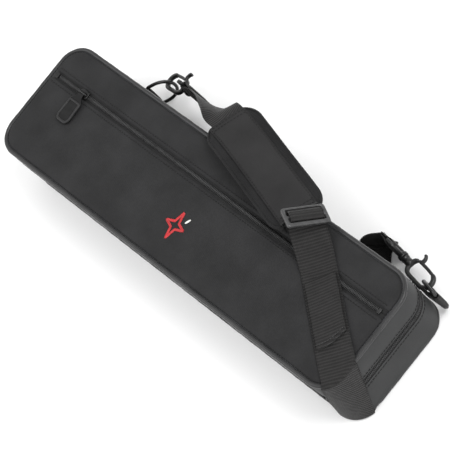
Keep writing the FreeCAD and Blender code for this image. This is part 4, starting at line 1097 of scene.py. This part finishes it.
sleeve_s = np.linspace(TRIM, PAD_LONG - TRIM, 64)
sleeve_q = np.linspace(-SLEEVE_HALF, SLEEVE_HALF, 19)
grid = []
for s in sleeve_s:
    flat = np.stack([s + 0 * sleeve_q, sleeve_q, 0 * sleeve_q], -1)
    grid.append(on_pad(flat[:, 0], sleeve_q, SLEEVE_Z + sleeve_bow(sleeve_q) + 0.22 * wobble(flat, 16, 4.1)))
sleeve = cloth_band("pad_sleeve_web", np.array(grid), 1.5, SLEEVE, ("pad_sleeve",), 0.5,
                    sleeve_q)
soft_pad = [pad, sleeve]
row_q = np.linspace(-14.5, 14.5, 21)
rows = [("stitch_%d" % k, sleeve_s[1:-1], np.full(62, q), 0.75) for k, q in enumerate((-15.1, 15.1))]
rows += [("row_%d" % k, np.full(21, s), row_q, 0.78)
         for k, s in enumerate((TRIM + 2.0, TRIM + 5.5, PAD_LONG - TRIM - 5.5, PAD_LONG - TRIM - 2.0))]
for name, s, q, lift in rows:
    line = on_pad(s, q, SLEEVE_Z + sleeve_bow(q) + lift)
    soft_pad.append(stitches("pad_sleeve_" + name, line, unit(sample(s, length_at, normal)), "base",
                             THREAD, 3.0, SLEEVE_STITCH))
edge_s = np.linspace(3, PAD_LONG - 3, 90)
edge_q = np.array([pad_width(s) - 0.6 for s in edge_s])
for k, sign in enumerate((-1, 1)):
    line = on_pad(edge_s, sign * edge_q, np.full(90, PAD_DROP + 0.1))
    soft_pad.append(sweep("pad_binding_%d" % k, line, (1.25, 1.6), PAD, "base", (), False, 10))

slide = frame_matrix((107.5, 44.6, 86.9), (0.274, 0.675, -0.685), (-0.910, 0.391, 0.053))
bars = [rounded(rect(-18.5, -9, 18.5, 9), 2.6, 6), rounded(rect(-15.5, 1.3, 15.5, 6.9), 1.0, 4),
        rounded(rect(-15.5, -5.4, 15.5, -1.1), 1.0, 4)]
soft_strap.append(shape_from_outline("adjuster_frame", bars, 3.0, 0.9, SLIDE, "base",
                                     ("strap_adjuster",), slide))
loop = [(to_frame(slide, (0, q, h)), axis_of(slide, 0), axis_of(slide, 1) * nq + axis_of(slide, 2) * nh)
        for q, h, nq, nh in ((4.6, -3.4, 0.3, -1), (5.6, 0.4, 1, 0.3), (3.4, 2.4, 0.4, 1), (0, 2.6, 0, 1),
                             (-2.4, 2.2, -0.4, 1), (-3.6, 0.2, -1, 0.3), (-3.2, -3.2, -0.4, -1))]
soft_strap.append(station_band("strap_webbing_buckle_loop", loop, 40, 0.95, STRAP_T - 0.3))

for piece in soft_strap + soft_pad:
    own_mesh(piece)

for key, material in (("back_foam", FOAM), ("base_wall_foam", FOAM), ("lid_wall_foam", FOAM),
                      ("front_foam", FOAM), ("back_board", BOARD), ("front_board", BOARD),
                      ("pocket_backing", LINING)):
    node = frame["nodes"][key]
    node.data.materials.clear()
    node.data.materials.append(material)

# --- floor, light and camera ---
floor_mesh = bpy.data.meshes.new("floor")
floor_mesh.from_pydata([(-4, -4, 0), (4, -4, 0), (4, 4, 0), (-4, 4, 0)], [], [(0, 1, 2, 3)])
floor = bpy.data.objects.new("floor", floor_mesh)
bpy.context.scene.collection.objects.link(floor)
floor_paint = Shader("floor_paint", (0.86, 0.86, 0.86), 0.9)
floor_mesh.materials.append(floor_paint.material)


def softbox(name, place, target, size, power):
    lamp = bpy.data.lights.new(name, "AREA")
    lamp.shape, lamp.size, lamp.energy = "SQUARE", size, power
    obj = bpy.data.objects.new(name, lamp)
    bpy.context.scene.collection.objects.link(obj)
    obj.location = place
    obj.rotation_euler = (Vector(target) - Vector(place)).to_track_quat("-Z", "Y").to_euler()


softbox("key", (1.1, 1.0, 1.9), (0, 0, 0), 1.2, 36)
softbox("fill", (-1.2, -1.2, 1.7), (0, 0, 0), 1.6, 22)
softbox("edge", (1.8, -0.2, 0.7), (0.1, 0, 0.03), 0.7, 9)
world = bpy.data.worlds.new("studio")
world.use_nodes = True
world.node_tree.nodes["Background"].inputs["Color"].default_value = (1, 1, 1, 1)
world.node_tree.nodes["Background"].inputs["Strength"].default_value = 0.95
bpy.context.scene.world = world
bpy.context.scene.view_settings.view_transform = "Standard"

lens = bpy.data.cameras.new("camera")
lens.lens, lens.sensor_width = 209.06, 36
lens.shift_x, lens.shift_y = 0.003645, -0.020267
camera = bpy.data.objects.new("camera", lens)
bpy.context.scene.collection.objects.link(camera)
camera.location = (1.27540, -0.08422, 1.68242)
camera.rotation_euler = [math.radians(a) for a in (27.2905, 27.0783, 44.3110)]
bpy.context.scene.camera = camera
